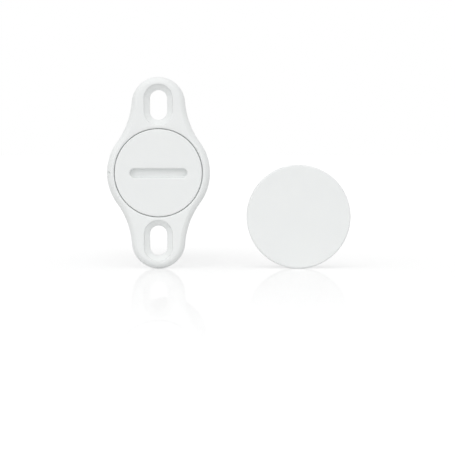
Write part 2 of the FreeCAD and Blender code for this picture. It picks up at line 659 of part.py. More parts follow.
def make_cap_contact():
    body = new_body("cap_contact")
    disc = face_sketch(body, "contact_disc", SKIRT_END)
    circle(disc, "0", "0", "%s - dim.contact_inset" % SKIRT_RADIUS)
    circle(disc, "0", "0", "dim.post_diameter / 2")
    pad(body, disc, "dim.contact_thickness", backwards=True)
    finger = face_sketch(body, "contact_finger", SKIRT_END)
    inner = "(dim.finger_radius - dim.finger_cut / 2)"
    outer = "(dim.finger_radius + dim.finger_cut / 2)"
    half = math.radians(value("dim.finger_sweep / 2"))
    top = math.pi / 2
    arcs = []
    for radius in (outer, inner):
        curve = arc(Vector(0, 0, 0), value(radius), top - half, top + half)
        arcs.append(finger.addGeometry(curve))
    sides = []
    for sign in (1, -1):
        heading = Vector(sign * math.sin(half), math.cos(half), 0)
        line = Part.LineSegment(heading * value(outer), heading * value(inner))
        sides.append(finger.addGeometry(line))
    for edge, radius in zip(arcs, (outer, inner)):
        finger.addConstraint(Sketcher.Constraint("Coincident", edge, 3, -1, 1))
        tie(finger, Sketcher.Constraint("Radius", edge, value(radius)), radius)
    for edge, end in zip(sides, (1, 2)):
        finger.addConstraint(Sketcher.Constraint("Coincident", arcs[0], end, edge, 1))
        finger.addConstraint(Sketcher.Constraint("Coincident", arcs[1], end, edge, 2))
        finger.addConstraint(Sketcher.Constraint("PointOnObject", -1, 1, edge))
    reach = "%s * sin(dim.finger_sweep / 2 * 1 deg)" % outer
    for end, sign in ((1, ""), (2, "-")):
        across = sign + reach
        dimension = Sketcher.Constraint("DistanceX", -1, 1, arcs[0], end, value(across))
        tie(finger, dimension, across)
    cut = pocket(body, finger, "dim.contact_thickness")
    polar(body, cut, finger, "dim.finger_count")
    return body


# Sensor half: the cell and its contacts

def make_battery_can():
    body = new_body("battery_can")
    can = face_sketch(body, "can_end", CAN_FRONT)
    circle(can, "0", "0", CAN_RADIUS)
    length = "%s - %s" % (CAN_BACK, CAN_FRONT)
    solid = pad(body, can, length, backwards=True)
    fillet(body, solid, lambda edge: len(edge.Vertexes) == 1, "dim.cell_edge_radius")
    place(body, up="-dim.cell_drop")
    return body


def make_battery_positive_button():
    body = new_body("battery_positive_button")
    button = face_sketch(body, "button_end", BUTTON_TIP)
    circle(button, "0", "0", "dim.button_diameter / 2")
    solid = pad(body, button, "dim.button_height", backwards=True)
    tip = value(BUTTON_TIP)
    fillet(body, solid, lambda edge: lies_at(edge, tip), "dim.button_edge_radius")
    place(body, up="-dim.cell_drop")
    return body


def make_battery_top_ring():
    body = new_body("battery_top_ring")
    ring = face_sketch(body, "ring_face", CAN_FRONT)
    circle(ring, "0", "0", "dim.button_diameter / 2 + dim.ring_width")
    circle(ring, "0", "0", "dim.button_diameter / 2")
    pad(body, ring, "dim.ring_thickness")
    place(body, up="-dim.cell_drop")
    return body


def make_battery_sleeve():
    body = new_body("battery_sleeve")
    outside = "dim.cell_diameter / 2"
    inside = "(%s - dim.sleeve_thickness)" % outside
    front = "(%s + dim.cell_edge_radius)" % CAN_FRONT
    back = "(%s - dim.cell_edge_radius)" % CAN_BACK
    section = axis_sketch(body, "sleeve_section")
    outline(section, ((front, inside), (front, outside), (back, outside), (back, inside)))
    revolve(body, section)
    place(body, up="-dim.cell_drop")
    return body


def arc_from_tangent(start, heading, finish):
    """The arc that leaves a point along a heading and ends at another point."""
    chord = finish - start
    along = Vector(chord).normalize()
    bulge = heading - along * heading.dot(along)
    angle = heading.getAngle(along)
    middle = start + chord * 0.5
    if bulge.Length > NEAR ** 2:
        middle += bulge.normalize() * (chord.Length / 2 * math.tan(angle / 2))
    return Part.Arc(start, middle, finish)


def smooth_pair(start, heading, finish, finish_heading):
    """Two arcs from one point and heading to another, tangent where they meet."""
    span = finish - start
    both = heading + finish_heading
    bend = 2 * (1 - heading.dot(finish_heading))
    reach = span.dot(both)
    step = (math.sqrt(reach * reach + bend * span.dot(span)) - reach) / bend
    joint = (start + finish + (heading - finish_heading) * step) * 0.5
    first = arc_from_tangent(start, heading, joint)
    second = arc_from_tangent(finish, finish_heading * -1, joint)
    return first.toShape(), second.toShape()


def wound_path(turns, pitch, first_radius, last_radius, first_angle):
    """A helix about Y, plain or conical, as pairs of arcs for each half turn."""
    half_turns = int(round(turns * 2))
    radius_rate = (last_radius - first_radius) / (half_turns * math.pi)

    def spot(angle):
        radius = first_radius + radius_rate * angle
        turn = first_angle + angle
        return Vector(radius * math.cos(turn), pitch * angle / (2 * math.pi),
                      radius * math.sin(turn))

    def heading(angle):
        radius = first_radius + radius_rate * angle
        turn = first_angle + angle
        return Vector(radius_rate * math.cos(turn) - radius * math.sin(turn),
                      pitch / (2 * math.pi),
                      radius_rate * math.sin(turn) + radius * math.cos(turn)).normalize()

    edges = []
    for index in range(half_turns):
        start = index * math.pi
        finish = start + math.pi
        edges.extend(smooth_pair(spot(start), heading(start), spot(finish), heading(finish)))
    return edges, spot, heading


def least_gap(spot, turns, wire):
    """The least clear space between neighbouring turns, measured on points."""
    steps = 24
    angles = [2 * math.pi * index / steps for index in range(int(turns * steps) + 1)]
    spots = [spot(angle) for angle in angles]
    least = min((spots[far] - spots[near]).Length
                for near in range(len(spots)) for far in range(near + steps // 2, len(spots)))
    return least - wire


def wire_along(edges, start, heading, diameter):
    """A round wire that follows a run of edges."""
    section = Part.Wire(Part.Circle(start, heading, diameter / 2).toShape())
    sweep = Part.BRepOffsetAPI.MakePipeShell(Part.Wire(edges))
    sweep.add(section)
    sweep.build()
    sweep.makeSolid()
    return sweep.shape()


def make_negative_spring():
    wire = value("dim.spring_wire")
    turns = value("dim.spring_turns")
    rise = value("dim.spring_room - dim.spring_gap - dim.spring_wire")
    edges, spot, heading = wound_path(turns, rise / turns, value("dim.spring_small_radius"),
                                      value("dim.spring_large_radius"), 0.0)
    print("negative_spring least gap", round(least_gap(spot, turns, wire), 2))
    spring = doc.addObject("Part::Feature", "negative_spring")
    spring.Shape = wire_along(edges, spot(0), heading(0), wire)
    place(spring, along="%s + dim.spring_gap + dim.spring_wire / 2" % CAN_BACK,
          up="-dim.cell_drop")
    return spring


def make_rear_contact_plate():
    body = new_body("rear_contact_plate")
    disc = face_sketch(body, "plate_disc", PLATE_FRONT)
    circle(disc, "0", "-dim.cell_drop",
           "dim.spring_large_radius + dim.spring_wire / 2 + dim.plate_rim")
    pad(body, disc, "dim.contact_thickness", backwards=True)
    tab = face_sketch(body, "plate_tab", PLATE_FRONT)
    rectangle(tab, "-dim.plate_tab_width / 2", "dim.plate_tab_width / 2", "0", BOARD_FOOT)
    pad(body, tab, "dim.contact_thickness", backwards=True)
    return body


# Sensor half: the carrier and the circuit board

def make_inner_carrier():
    body = new_body("inner_carrier")
    length = "(%s - %s)" % (CARRIER_BACK, CARRIER_FRONT)
    rod = face_sketch(body, "carrier_rod", CARRIER_FRONT)
    circle(rod, "0", "0", CARRIER_RADIUS)
    pad(body, rod, length, backwards=True)
    cell = face_sketch(body, "carrier_cell", CARRIER_FRONT)
    circle(cell, "0", "-dim.cell_drop", CELL_BORE_RADIUS)
    pocket(body, cell, "%s - %s" % (PLATE_BACK, CARRIER_FRONT))
    bay = face_sketch(body, "carrier_bay", BAY_FRONT)
    circle(bay, "0", "0", "%s - dim.bay_wall" % CARRIER_RADIUS)
    pocket(body, bay, "%s - %s" % (CARRIER_BACK, BAY_FRONT))
    seat = face_sketch(body, "carrier_board_seat", CARRIER_FRONT)
    side = "(%s + dim.board_edge_gap)" % BOARD_SIDE
    rectangle(seat, "-" + side, side, BOARD_FOOT, BARREL_RADIUS)
    pocket(body, seat, length)
    opening = face_sketch(body, "carrier_opening", CARRIER_FRONT)
    side = "(%s - dim.carrier_ledge)" % BOARD_SIDE
    foot = "(%s - dim.carrier_opening_depth)" % BOARD_FOOT
    rectangle(opening, "-" + side, side, foot, BARREL_RADIUS)
    pocket(body, opening, length)
    return body


def make_circuit_board():
    body = new_body("circuit_board")
    edge_on = face_sketch(body, "board_end", BOARD_FRONT)
    rectangle(edge_on, "-" + BOARD_SIDE, BOARD_SIDE, BOARD_FOOT, BOARD_TOP)
    board = pad(body, edge_on, "%s - %s" % (BOARD_BACK, BOARD_FRONT), backwards=True)

    def upright(edge):
        box = edge.BoundBox
        return box.ZLength > NEAR and box.XLength < NEAR and box.YLength < NEAR

    chamfer(body, board, upright, "dim.board_corner")
    drill = new_sketch(body, "aerial_drill", "XY_Plane", BOARD_TOP)
    # the lead leans back as it rises, as steeply as the coil winds
    rise = "(%s - dim.board_thickness / 2 + dim.aerial_drop)" % BOARD_TOP
    lean = "(dim.aerial_pitch / (2 * pi * dim.aerial_radius))"
    along = "%s + %s * %s" % (COIL_BACK, rise, lean)
    circle(drill, "dim.aerial_radius", along, "dim.aerial_hole / 2")
    pocket(body, drill, "dim.board_thickness")
    return body


def make_front_leaf():
    body = new_body("front_leaf")
    tip = "(%s + dim.leaf_gap)" % CONTACT_BACK
    foot_end = "(%s + dim.leaf_foot)" % BOARD_FRONT
    top = "(%s + dim.leaf_thickness)" % BOARD_TOP
    foot = "(%s - dim.leaf_drop)" % BOARD_TOP
    inside = "(%s + dim.leaf_thickness)" % tip
    side = "(-dim.switch_width / 2 - dim.leaf_side_gap - dim.leaf_width)"
    bend = new_sketch(body, "leaf_bend", "YZ_Plane", side)
    outline(bend, (
        (tip, foot),
        (inside, foot),
        (inside, BOARD_TOP),
        (foot_end, BOARD_TOP),
        (foot_end, top),
        (tip, top),
    ))
    strip = pad(body, bend, "dim.leaf_width")

    def along_the_bend(spot, height):
        def test(edge):
            middle = edge.CenterOfMass
            return edge.BoundBox.XLength > NEAR and abs(middle.y - value(spot)) < NEAR \
                and abs(middle.z - value(height)) < NEAR
        return test

    inner = fillet(body, strip, along_the_bend(inside, BOARD_TOP), "dim.leaf_bend")
    fillet(body, inner, along_the_bend(tip, top), "dim.leaf_bend + dim.leaf_thickness")
    return body


PLUNGER_FOOT = "(%s + (dim.switch_height - dim.plunger_height) / 2)" % BOARD_TOP


def make_reset_switch_body():
    case = block("switch_case", "dim.switch_width", "dim.switch_length", "dim.switch_height")
    place(case, "-dim.switch_width / 2", SWITCH_FRONT, BOARD_TOP)
    well = block("switch_well", "dim.plunger_width + 2 * dim.plunger_gap",
                 "dim.plunger_tail + dim.plunger_travel + 2 * dim.plunger_gap",
                 "dim.plunger_height + 2 * dim.plunger_gap")
    place(well, "-dim.plunger_width / 2 - dim.plunger_gap", "%s - dim.plunger_gap" % SWITCH_FRONT,
          "%s - dim.plunger_gap" % PLUNGER_FOOT)
    body = doc.addObject("Part::Cut", "reset_switch_body")
    body.Base = case
    body.Tool = well
    return body


def make_reset_plunger():
    body = new_body("reset_plunger")
    tip = "(%s - dim.plunger_reach)" % SWITCH_FRONT
    end = face_sketch(body, "plunger_end", tip)
    rectangle(end, "-dim.plunger_width / 2", "dim.plunger_width / 2", PLUNGER_FOOT,
              "%s + dim.plunger_height" % PLUNGER_FOOT)
    stem = pad(body, end, "dim.plunger_reach + dim.plunger_tail", backwards=True)
    face = value(tip)
    fillet(body, stem, lambda edge: lies_at(edge, face), "dim.plunger_edge")
    return body


def make_status_light():
    body = new_body("status_light")
    near = "(dim.switch_width / 2 + dim.light_side_gap)"
    end = face_sketch(body, "light_end", "(%s + dim.light_setback)" % BOARD_FRONT)
    rectangle(end, near, "%s + dim.light_width" % near, BOARD_TOP,
              "%s + dim.light_height" % BOARD_TOP)
    solid = pad(body, end, "dim.light_length", backwards=True)
    top = value("%s + dim.light_height" % BOARD_TOP)
    fillet(body, solid, lambda edge: edge.BoundBox.ZMin > top - NEAR, "dim.light_edge")
    return body


def make_reed_glass():
    body = new_body("reed_glass")
    outside = "(dim.reed_diameter / 2)"
    inside = "(%s - dim.reed_wall)" % outside
    lead = "(dim.reed_lead_diameter / 2)"
    far_seal = "(dim.reed_length - dim.reed_seal)"
    section = axis_sketch(body, "glass_section")
    outline(section, (
        ("0", lead),
        ("0", outside),
        ("dim.reed_length", outside),
        ("dim.reed_length", lead),
        (far_seal, lead),
        ("(%s - dim.reed_wall)" % far_seal, inside),
        ("(dim.reed_seal + dim.reed_wall)", inside),
        ("dim.reed_seal", lead),
    ))
    tube = revolve(body, section)
    rim = value(outside)

    def end_rim(edge):
        box = edge.BoundBox
        return box.YLength < NEAR and box.ZMax > rim - NEAR

    fillet(body, tube, end_rim, "dim.reed_edge_radius")
    place(body, along=REED_FRONT, up="%s + %s" % (BOARD_TOP, outside))
    return body


def make_reed_lead(name, rear):
    """One lead: up from the board, through the glass seal and flattened into a blade."""
    middle = "(%s + dim.reed_length / 2)" % REED_FRONT
    height = "(%s + dim.reed_diameter / 2)" % BOARD_TOP
    radius = "dim.reed_lead_diameter / 2"
    sealed = "(dim.reed_seal + dim.reed_wall)"
    stem_length = "(dim.reed_lead_reach + %s)" % sealed
    elbow_reach = "(dim.reed_length / 2 + dim.reed_lead_reach)"
    elbow_along = "(%s %s %s)" % (middle, "+" if rear else "-", elbow_reach)
    stem = doc.addObject("Part::Cylinder", name + "_stem")
    bind(stem, Radius=radius, Height=stem_length)
    stem.Placement.Rotation = FreeCAD.Rotation(Vector(1, 0, 0), -90)
    place(stem, "0", "%s - %s" % (elbow_along, stem_length) if rear else elbow_along, height)
    elbow = doc.addObject("Part::Sphere", name + "_elbow")
    bind(elbow, Radius=radius)
    place(elbow, "0", elbow_along, height)
    leg = doc.addObject("Part::Cylinder", name + "_leg")
    bind(leg, Radius=radius, Height="dim.reed_diameter / 2")
    place(leg, "0", elbow_along, BOARD_TOP)
    half_overlap = "dim.blade_overlap / 2"
    blade_length = "(dim.reed_length / 2 - %s + %s)" % (sealed, half_overlap)
    blade = block(name + "_blade", "dim.blade_width", blade_length, "dim.blade_thickness")
    if rear:
        near = "%s - %s" % (middle, half_overlap)
        foot = "%s - dim.blade_gap / 2 - dim.blade_thickness" % height
    else:
        near = "%s - dim.reed_length / 2 + %s" % (middle, sealed)
        foot = "%s + dim.blade_gap / 2" % height
    place(blade, "-dim.blade_width / 2", near, foot)
    lead = doc.addObject("Part::MultiFuse", name)
    lead.Shapes = [stem, elbow, leg, blade]
    return lead


def make_reed_blades():
    pair = doc.addObject("Part::Compound", "reed_blades")
    pair.Links = [make_reed_lead("front_lead", False), make_reed_lead("rear_lead", True)]
    return pair


def make_chip_capacitors():
    chips = []
    for side, across in (("left", "-dim.chip_across"), ("right", "dim.chip_across")):
        for index in range(int(value("dim.chip_count"))):
            chip = block("chip_%s_%d" % (side, index + 1), "dim.chip_width",
                         "dim.chip_length", "dim.chip_height")
            along = "%s + %d * dim.chip_pitch" % (CHIP_FRONT, index)
            place(chip, "%s - dim.chip_width / 2" % across, along, BOARD_TOP)
            chips.append(chip)
    group = doc.addObject("Part::Compound", "chip_capacitors")
    group.Links = chips
    return group


def make_radio_shield():
    body = new_body("radio_shield")
    end = face_sketch(body, "shield_end", SHIELD_FRONT)
    rectangle(end, "-dim.shield_width / 2", "dim.shield_width / 2",
              "%s - dim.shield_height" % BOARD_FOOT, BOARD_FOOT)
    solid = pad(body, end, "dim.shield_length", backwards=True)
    foot = value("%s - dim.shield_height" % BOARD_FOOT)
    fillet(body, solid, lambda edge: edge.BoundBox.ZMax < foot + NEAR, "dim.shield_edge")
    room = face_sketch(body, "shield_room", "(%s + dim.shield_wall)" % SHIELD_FRONT)
    rectangle(room, "-dim.shield_width / 2 + dim.shield_wall",
              "dim.shield_width / 2 - dim.shield_wall",
              "%s - dim.shield_height + dim.shield_wall" % BOARD_FOOT, BOARD_FOOT)
    pocket(body, room, "dim.shield_length - 2 * dim.shield_wall")
    return body


def make_microcontroller():
    body = new_body("microcontroller")
    middle = "(%s + dim.shield_length / 2)" % SHIELD_FRONT
    face = new_sketch(body, "processor_face", "XY_Plane", BOARD_FOOT)
    side = "dim.processor_side / 2"
    rectangle(face, "-" + side, side, "%s - %s" % (middle, side), "%s + %s" % (middle, side))
    solid = pad(body, face, "dim.processor_height", backwards=True)

    def key_corner(edge):
        box = edge.BoundBox
        return box.ZLength > NEAR and box.XMax < 0 and box.YMin < value(middle)

    chamfer(body, solid, key_corner, "dim.processor_corner")
    return body


def make_crystal():
    body = new_body("crystal")
    face = new_sketch(body, "crystal_face", "XY_Plane", BOARD_FOOT)
    rectangle(face, "-dim.crystal_across - dim.crystal_width / 2",
              "-dim.crystal_across + dim.crystal_width / 2",
              CRYSTAL_FRONT, "%s + dim.crystal_length" % CRYSTAL_FRONT)
    solid = pad(body, face, "dim.crystal_height", backwards=True)

    def corner(edge):
        return edge.BoundBox.ZLength > NEAR

    fillet(body, solid, corner, "dim.crystal_corner_radius")
    return body


def make_reservoir_capacitor():
    body = new_body("reservoir_capacitor")
    can = new_sketch(body, "reservoir_can", "YZ_Plane", "-dim.reservoir_length / 2")
    radius = "dim.reservoir_diameter / 2"
    circle(can, RESERVOIR_MIDDLE, "%s - %s" % (BOARD_FOOT, radius), radius)
    solid = pad(body, can, "dim.reservoir_length")
    fillet(body, solid, lambda edge: len(edge.Vertexes) == 1, "dim.reservoir_edge")
    return body


def make_helical_aerial():
    wire = value("dim.aerial_wire")
    turns = value("dim.aerial_turns")
    radius = value("dim.aerial_radius")
    # the coil ends at its right-hand side, where the wire points up at the board
    edges, spot, heading = wound_path(turns, value("dim.aerial_pitch"), radius, radius,
                                      -2 * math.pi * turns)
    print("helical_aerial least gap", round(least_gap(spot, turns, wire), 2))
    finish = 2 * math.pi * turns
    rise = value("%s + dim.aerial_drop + dim.aerial_tip" % BOARD_TOP) / heading(finish).z
    top = spot(finish) + heading(finish) * rise
    edges.append(Part.LineSegment(spot(finish), top).toShape())
    aerial = doc.addObject("Part::Feature", "helical_aerial")
    aerial.Shape = wire_along(edges, spot(0), heading(0), wire)
    place(aerial, along="%s - dim.aerial_turns * dim.aerial_pitch" % COIL_BACK,
          up="-dim.aerial_drop")
    return aerial


def make_rear_plug():
    body = new_body("rear_plug")
    radius = "(%s - dim.plug_gap)" % BORE_RADIUS
    recess = "(%s - dim.plug_recess_depth)" % BARREL_BACK
    section = axis_sketch(body, "rear_plug_section")
    outline(section, (
        (CARRIER_BACK, "0"),
        (CARRIER_BACK, CARRIER_RADIUS),
        (PLUG_FRONT, CARRIER_RADIUS),
        (PLUG_FRONT, radius),
        (BARREL_BACK, radius),
        (BARREL_BACK, "dim.plug_recess_diameter / 2"),
        (recess, "dim.plug_recess_diameter / 2"),
        (recess, "0"),
    ))
    solid = revolve(body, section)
    back = value(BARREL_BACK)
    rim = value(radius)

    def outer_rim(edge):
        return lies_at(edge, back) and edge.BoundBox.ZMax > rim - NEAR

    chamfer(body, solid, outer_rim, "dim.plug_edge")
    return body


# Magnet half, modelled about its own axis and then set beside the sensor

def set_beside(thing):
    """Stands a magnet piece beside the sensor, with its foot level with the flange's."""
    place(thing, "dim.magnet_across", "0", MAGNET_HEIGHT)
    return thing


def make_magnet_cup():
    body = new_body("magnet_cup")
    face = face_sketch(body, "magnet_disc")
    circle(face, "0", "0", DISC_RADIUS)
    disc = pad(body, face, "dim.disc_thickness")
    front = value("-dim.disc_thickness")
    fillet(body, disc, lambda edge: lies_at(edge, front), "dim.disc_edge_radius")
    section = axis_sketch(body, "stub_section")
    barrel_section(section, "dim.stub_length")
    revolve(body, section)
    crush_ribs(body, "stub_rib", "dim.stub_rib_length")
    nest = "(%s + dim.nest_depth)" % MAGNET_FRONT
    nest_radius = "(dim.magnet_diameter / 2 + dim.magnet_gap)"
    bore = axis_sketch(body, "stub_bore")
    outline(bore, (
        (MAGNET_FRONT, "0"),
        (MAGNET_FRONT, nest_radius),
        (nest, nest_radius),
        (nest, BORE_RADIUS),
        ("dim.stub_length", BORE_RADIUS),
        ("dim.stub_length", "0"),
    ))
    groove(body, bore)
    return set_beside(body)


def make_magnet():
    body = new_body("magnet")
    end = face_sketch(body, "magnet_end", MAGNET_FRONT)
    circle(end, "0", "0", "dim.magnet_diameter / 2")
    disc = pad(body, end, "dim.magnet_thickness", backwards=True)
    chamfer(body, disc, lambda edge: len(edge.Vertexes) == 1, "dim.magnet_edge")
    return set_beside(body)


def make_magnet_plug():
    body = new_body("magnet_plug")
    front = "(dim.stub_length - dim.stub_plug_thickness)"
    radius = "(%s - dim.plug_gap)" % BORE_RADIUS
    section = axis_sketch(body, "magnet_plug_section")
    outline(section, (
        (MAGNET_BACK, "0"),
        (MAGNET_BACK, "dim.plug_boss_diameter / 2"),
        (front, "dim.plug_boss_diameter / 2"),
        (front, radius),
        ("dim.stub_length", radius),
        ("dim.stub_length", "0"),
    ))
    solid = revolve(body, section)
    back = value("dim.stub_length")
    chamfer(body, solid, lambda edge: lies_at(edge, back), "dim.plug_edge")
    return set_beside(body)


MAKERS = (
    make_flange_barrel,
    make_battery_cap,
    make_cap_seal,
    make_cap_contact,
    make_battery_can,
    make_battery_positive_button,
    make_battery_top_ring,
    make_battery_sleeve,
    make_negative_spring,
    make_rear_contact_plate,
    make_inner_carrier,
    make_circuit_board,
    make_front_leaf,
    make_reset_switch_body,
    make_reset_plunger,
    make_status_light,
    make_reed_glass,
    make_reed_blades,
    make_chip_capacitors,
    make_radio_shield,
    make_microcontroller,
    make_crystal,
    make_reservoir_capacitor,
    make_helical_aerial,
    make_rear_plug,
    make_magnet_cup,
    make_magnet,
    make_magnet_plug,
)


def check_document():
    """Stops if any object of the document failed."""
    for item in doc.Objects:
        if "Invalid" in item.State or "Error" in item.State:
            raise RuntimeError("%s failed: %s" % (item.Label, item.State))
        if item.TypeId == "Sketcher::SketchObject" and not item.FullyConstrained:
            raise RuntimeError("%s isn't fully constrained" % item.Label)


def write_sub_parts(sub_parts):
    """Checks every sub-part's shape, then writes each to its own file."""
    for item in sub_parts:
        if item.Shape.isNull() or not item.Shape.isValid():
            raise RuntimeError("%s has no valid shape" % item.Label)
    os.makedirs("parts", exist_ok=True)
    for item in sub_parts:
        item.Shape.exportStep("parts/%s.step" % item.Label)


sub_parts = [make() for make in MAKERS]
doc.recompute()
check_document()
write_sub_parts(sub_parts)
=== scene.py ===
import math

import bmesh
import bpy
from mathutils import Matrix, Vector
from mathutils.geometry import tessellate_polygon


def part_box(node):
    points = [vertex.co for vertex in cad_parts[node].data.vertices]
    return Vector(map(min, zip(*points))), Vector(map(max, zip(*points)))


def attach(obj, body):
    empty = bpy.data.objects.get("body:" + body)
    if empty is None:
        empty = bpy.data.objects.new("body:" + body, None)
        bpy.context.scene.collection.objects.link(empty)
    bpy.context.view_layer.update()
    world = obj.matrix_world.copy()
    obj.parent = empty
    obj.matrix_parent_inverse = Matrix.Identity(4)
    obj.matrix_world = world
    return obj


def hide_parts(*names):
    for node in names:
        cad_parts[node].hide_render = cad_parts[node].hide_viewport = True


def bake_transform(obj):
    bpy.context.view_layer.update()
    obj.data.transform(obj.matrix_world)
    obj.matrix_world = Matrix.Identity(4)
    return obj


# A recessed door sensor and its magnet half. Lengths here are in millimetres and are turned into
# metres when a mesh is made. The barrels lie along Y and the front faces look along -Y.

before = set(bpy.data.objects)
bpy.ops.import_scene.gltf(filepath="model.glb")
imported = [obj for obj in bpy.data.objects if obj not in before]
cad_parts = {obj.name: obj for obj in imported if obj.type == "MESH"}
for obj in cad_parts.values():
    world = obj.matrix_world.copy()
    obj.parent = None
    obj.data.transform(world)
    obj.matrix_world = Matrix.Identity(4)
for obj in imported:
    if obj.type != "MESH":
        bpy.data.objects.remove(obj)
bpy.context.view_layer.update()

MM = 0.001
FULL_TURN = 2 * math.pi


def low(node, axis):
    """The lowest place of a node along an axis, in millimetres."""
    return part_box(node)[0]["xyz".index(axis)] / MM


def high(node, axis):
    """The highest place of a node along an axis, in millimetres."""
    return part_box(node)[1]["xyz".index(axis)] / MM


def extent(node, axis):
    """The lowest and the highest place of a node along an axis, in millimetres."""
    return low(node, axis), high(node, axis)


# Sizes that the frame gives

FRONT, BARREL_BACK = extent("flange_barrel", "y")
FLOOR, FLANGE_REACH = extent("flange_barrel", "z")
FLANGE_RADIUS = high("flange_barrel", "x")
CAP_RADIUS = high("battery_cap", "x")
POST_END = high("battery_cap", "y")
SKIRT_END = low("cap_contact", "y")
SEAL_FRONT, SEAL_BACK = extent("cap_seal", "y")
SEAL_OUTSIDE = high("cap_seal", "x")
CELL_HEIGHT = sum(extent("battery_can", "z")) / 2
CAN_RADIUS = high("battery_can", "x")
CAN_FRONT, CAN_BACK = extent("battery_can", "y")
SLEEVE_RADIUS = high("battery_sleeve", "x")
BUTTON_TIP = low("battery_positive_button", "y")
BUTTON_RADIUS = high("battery_positive_button", "x")
RING_FRONT = low("battery_top_ring", "y")
RING_RADIUS = high("battery_top_ring", "x")
SPRING_FRONT, SPRING_BACK = extent("negative_spring", "y")
BOARD_TOP = high("circuit_board", "z")
AERIAL_FRONT = low("helical_aerial", "y")
AERIAL_FOOT, AERIAL_TIP = extent("helical_aerial", "z")
AERIAL_SIDE = high("helical_aerial", "x")
CARRIER_BACK = high("inner_carrier", "y")
CARRIER_RADIUS = high("inner_carrier", "x")
PLUG_RADIUS = high("rear_plug", "x")
MAGNET_ACROSS = sum(extent("magnet_cup", "x")) / 2
MAGNET_HEIGHT = sum(extent("magnet_cup", "z")) / 2
DISC_RADIUS = high("magnet_cup", "x") - MAGNET_ACROSS
DISC_FRONT, STUB_BACK = extent("magnet_cup", "y")
MAGNET_FRONT, MAGNET_BACK = extent("magnet", "y")
MAGNET_RADIUS = high("magnet", "x") - MAGNET_ACROSS

# Sizes of the moulded flange and of both barrels

END_RADIUS = 6.15
END_RISE = 0.3
FLANK_RADIUS = 18.5
FLANGE_EDGE_WIDTH = 1.25
FLANGE_EDGE_DEPTH = 1.15
FLANGE_EDGE_CURVE = 1.4
SLOT_WIDTH = 4.0
SLOT_LENGTH = 6.9
COUNTERSINK = 1.37
SINK_EDGE = 0.15
SINK_STEP_DEPTH = 0.5
SINK_STEP_WIDTH = 0.2
SINK_FOOT = 0.2
MARK_INSET = 0.5
MARK_RADIUS = 0.32
MARK_DEPTH = 0.45
MARK_STEEPNESS = 2.0
MARK_SWEEP = math.radians(2)
BARREL_RADIUS = 10.8
BORE_RADIUS = 9.6
LEAD_IN_LENGTH = 1.2
LEAD_IN_STEP = 0.5
MOUTH_LEAD = 0.7
MOUTH_SHORTFALL = 0.3
RIB_COUNT = 6
RIB_SECTION = 0.5
RIB_HEIGHT = 0.15
RIB_START = 2.5
RIB_LENGTH = 30.0
RIB_TAPER = 0.7
STUB_RIB_LENGTH = 4.5

# Places on the fillet at a barrel's root: how far behind the flange, and how far out of the barrel
ROOT_FILLET = ((0.3, 0.0), (0.1, 0.06), (0.0, 0.2))

# Sizes of the cap, of the recess that it sits in and of its thread

RECESS_GAP = 0.17
RECESS_EDGE = 0.4
CAP_GAP = 0.11
CAP_THICKNESS = 1.95
CAP_SEAT_GAP = 0.05
CAP_EDGE = 0.3
CAP_OVERHANG = 1.15
CAP_WEB = 3.8
SKIRT_WALL = 1.6
SKIRT_GAP = 0.1
SEAL_SIDE_GAP = 0.1
SEAL_FLOOR_GAP = 0.06
GROOVE_LIP = 0.05
HOLLOW_EDGE = 0.4
POST_RADIUS = 1.0
POST_ROOT = 2.0
COIN_LENGTH = 13.15
COIN_WIDTH = 2.02
COIN_DEPTH = 1.5
COIN_EDGE = 0.35
COIN_FLOOR_EDGE = 0.25
COIN_DROP = 0.06
THREAD_LEAD = 4.0
THREAD_RAMP = math.radians(5)
THREAD_GAP = 0.08
LUG_PLACE = 3.3
LUG_SWEEP = math.radians(25)
LUG_HEIGHT = 0.42
LUG_WIDTH = 0.8
LUG_FLANK = 0.2
GROOVE_PAST_LUG = math.radians(8)

# Small roundings, and where a bevel's middle row lies as a share of it

EDGE = 0.12
FINE_EDGE = 0.1
BEVEL_MIDDLE = 0.3

# How finely the surfaces are divided

MARK_COLUMNS = 16
MARK_ROWS = 24
EDGE_ROWS = 16
MIDDLE_STEPS = 12
FLANK_STEPS = 18
END_STEPS = 24
SLOT_COLUMNS = 48
COIN_COLUMNS = 72
RIB_STEPS = 4
PLAIN_STEPS = 22
MOUTH_ROWS = 30
SKIRT_ROWS = 32
CAP_COLUMNS = 144
LARGE_COLUMNS = 120
MAGNET_COLUMNS = 96
SMALL_COLUMNS = 72
SOLDER_COLUMNS = 24
SEAL_SIDES = 20
WIRE_SIDES = 14
COIL_STEPS = 36
LEAD_STEPS = 8

# Lengths that are as good as nothing: between radii, on a radius, and in metres between corners

NEAR = 0.01
NO_RADIUS = 1e-6
SAME_PLACE = 1e-7

END_HEIGHT = FLANGE_REACH - END_RADIUS
SCREW_HEIGHT = END_HEIGHT - END_RISE
COUNTERBORE_RADIUS = CAP_RADIUS + RECESS_GAP
CAP_FACE_RADIUS = COUNTERBORE_RADIUS - CAP_GAP
MOUTH_RADIUS = CAP_RADIUS - CAP_OVERHANG
SKIRT_RADIUS = MOUTH_RADIUS - SKIRT_GAP
CAP_UNDERSIDE = FRONT + CAP_THICKNESS
CAP_SEAT = CAP_UNDERSIDE + CAP_SEAT_GAP
MOUTH_END = SKIRT_END - MOUTH_SHORTFALL


# Building surfaces out of loops

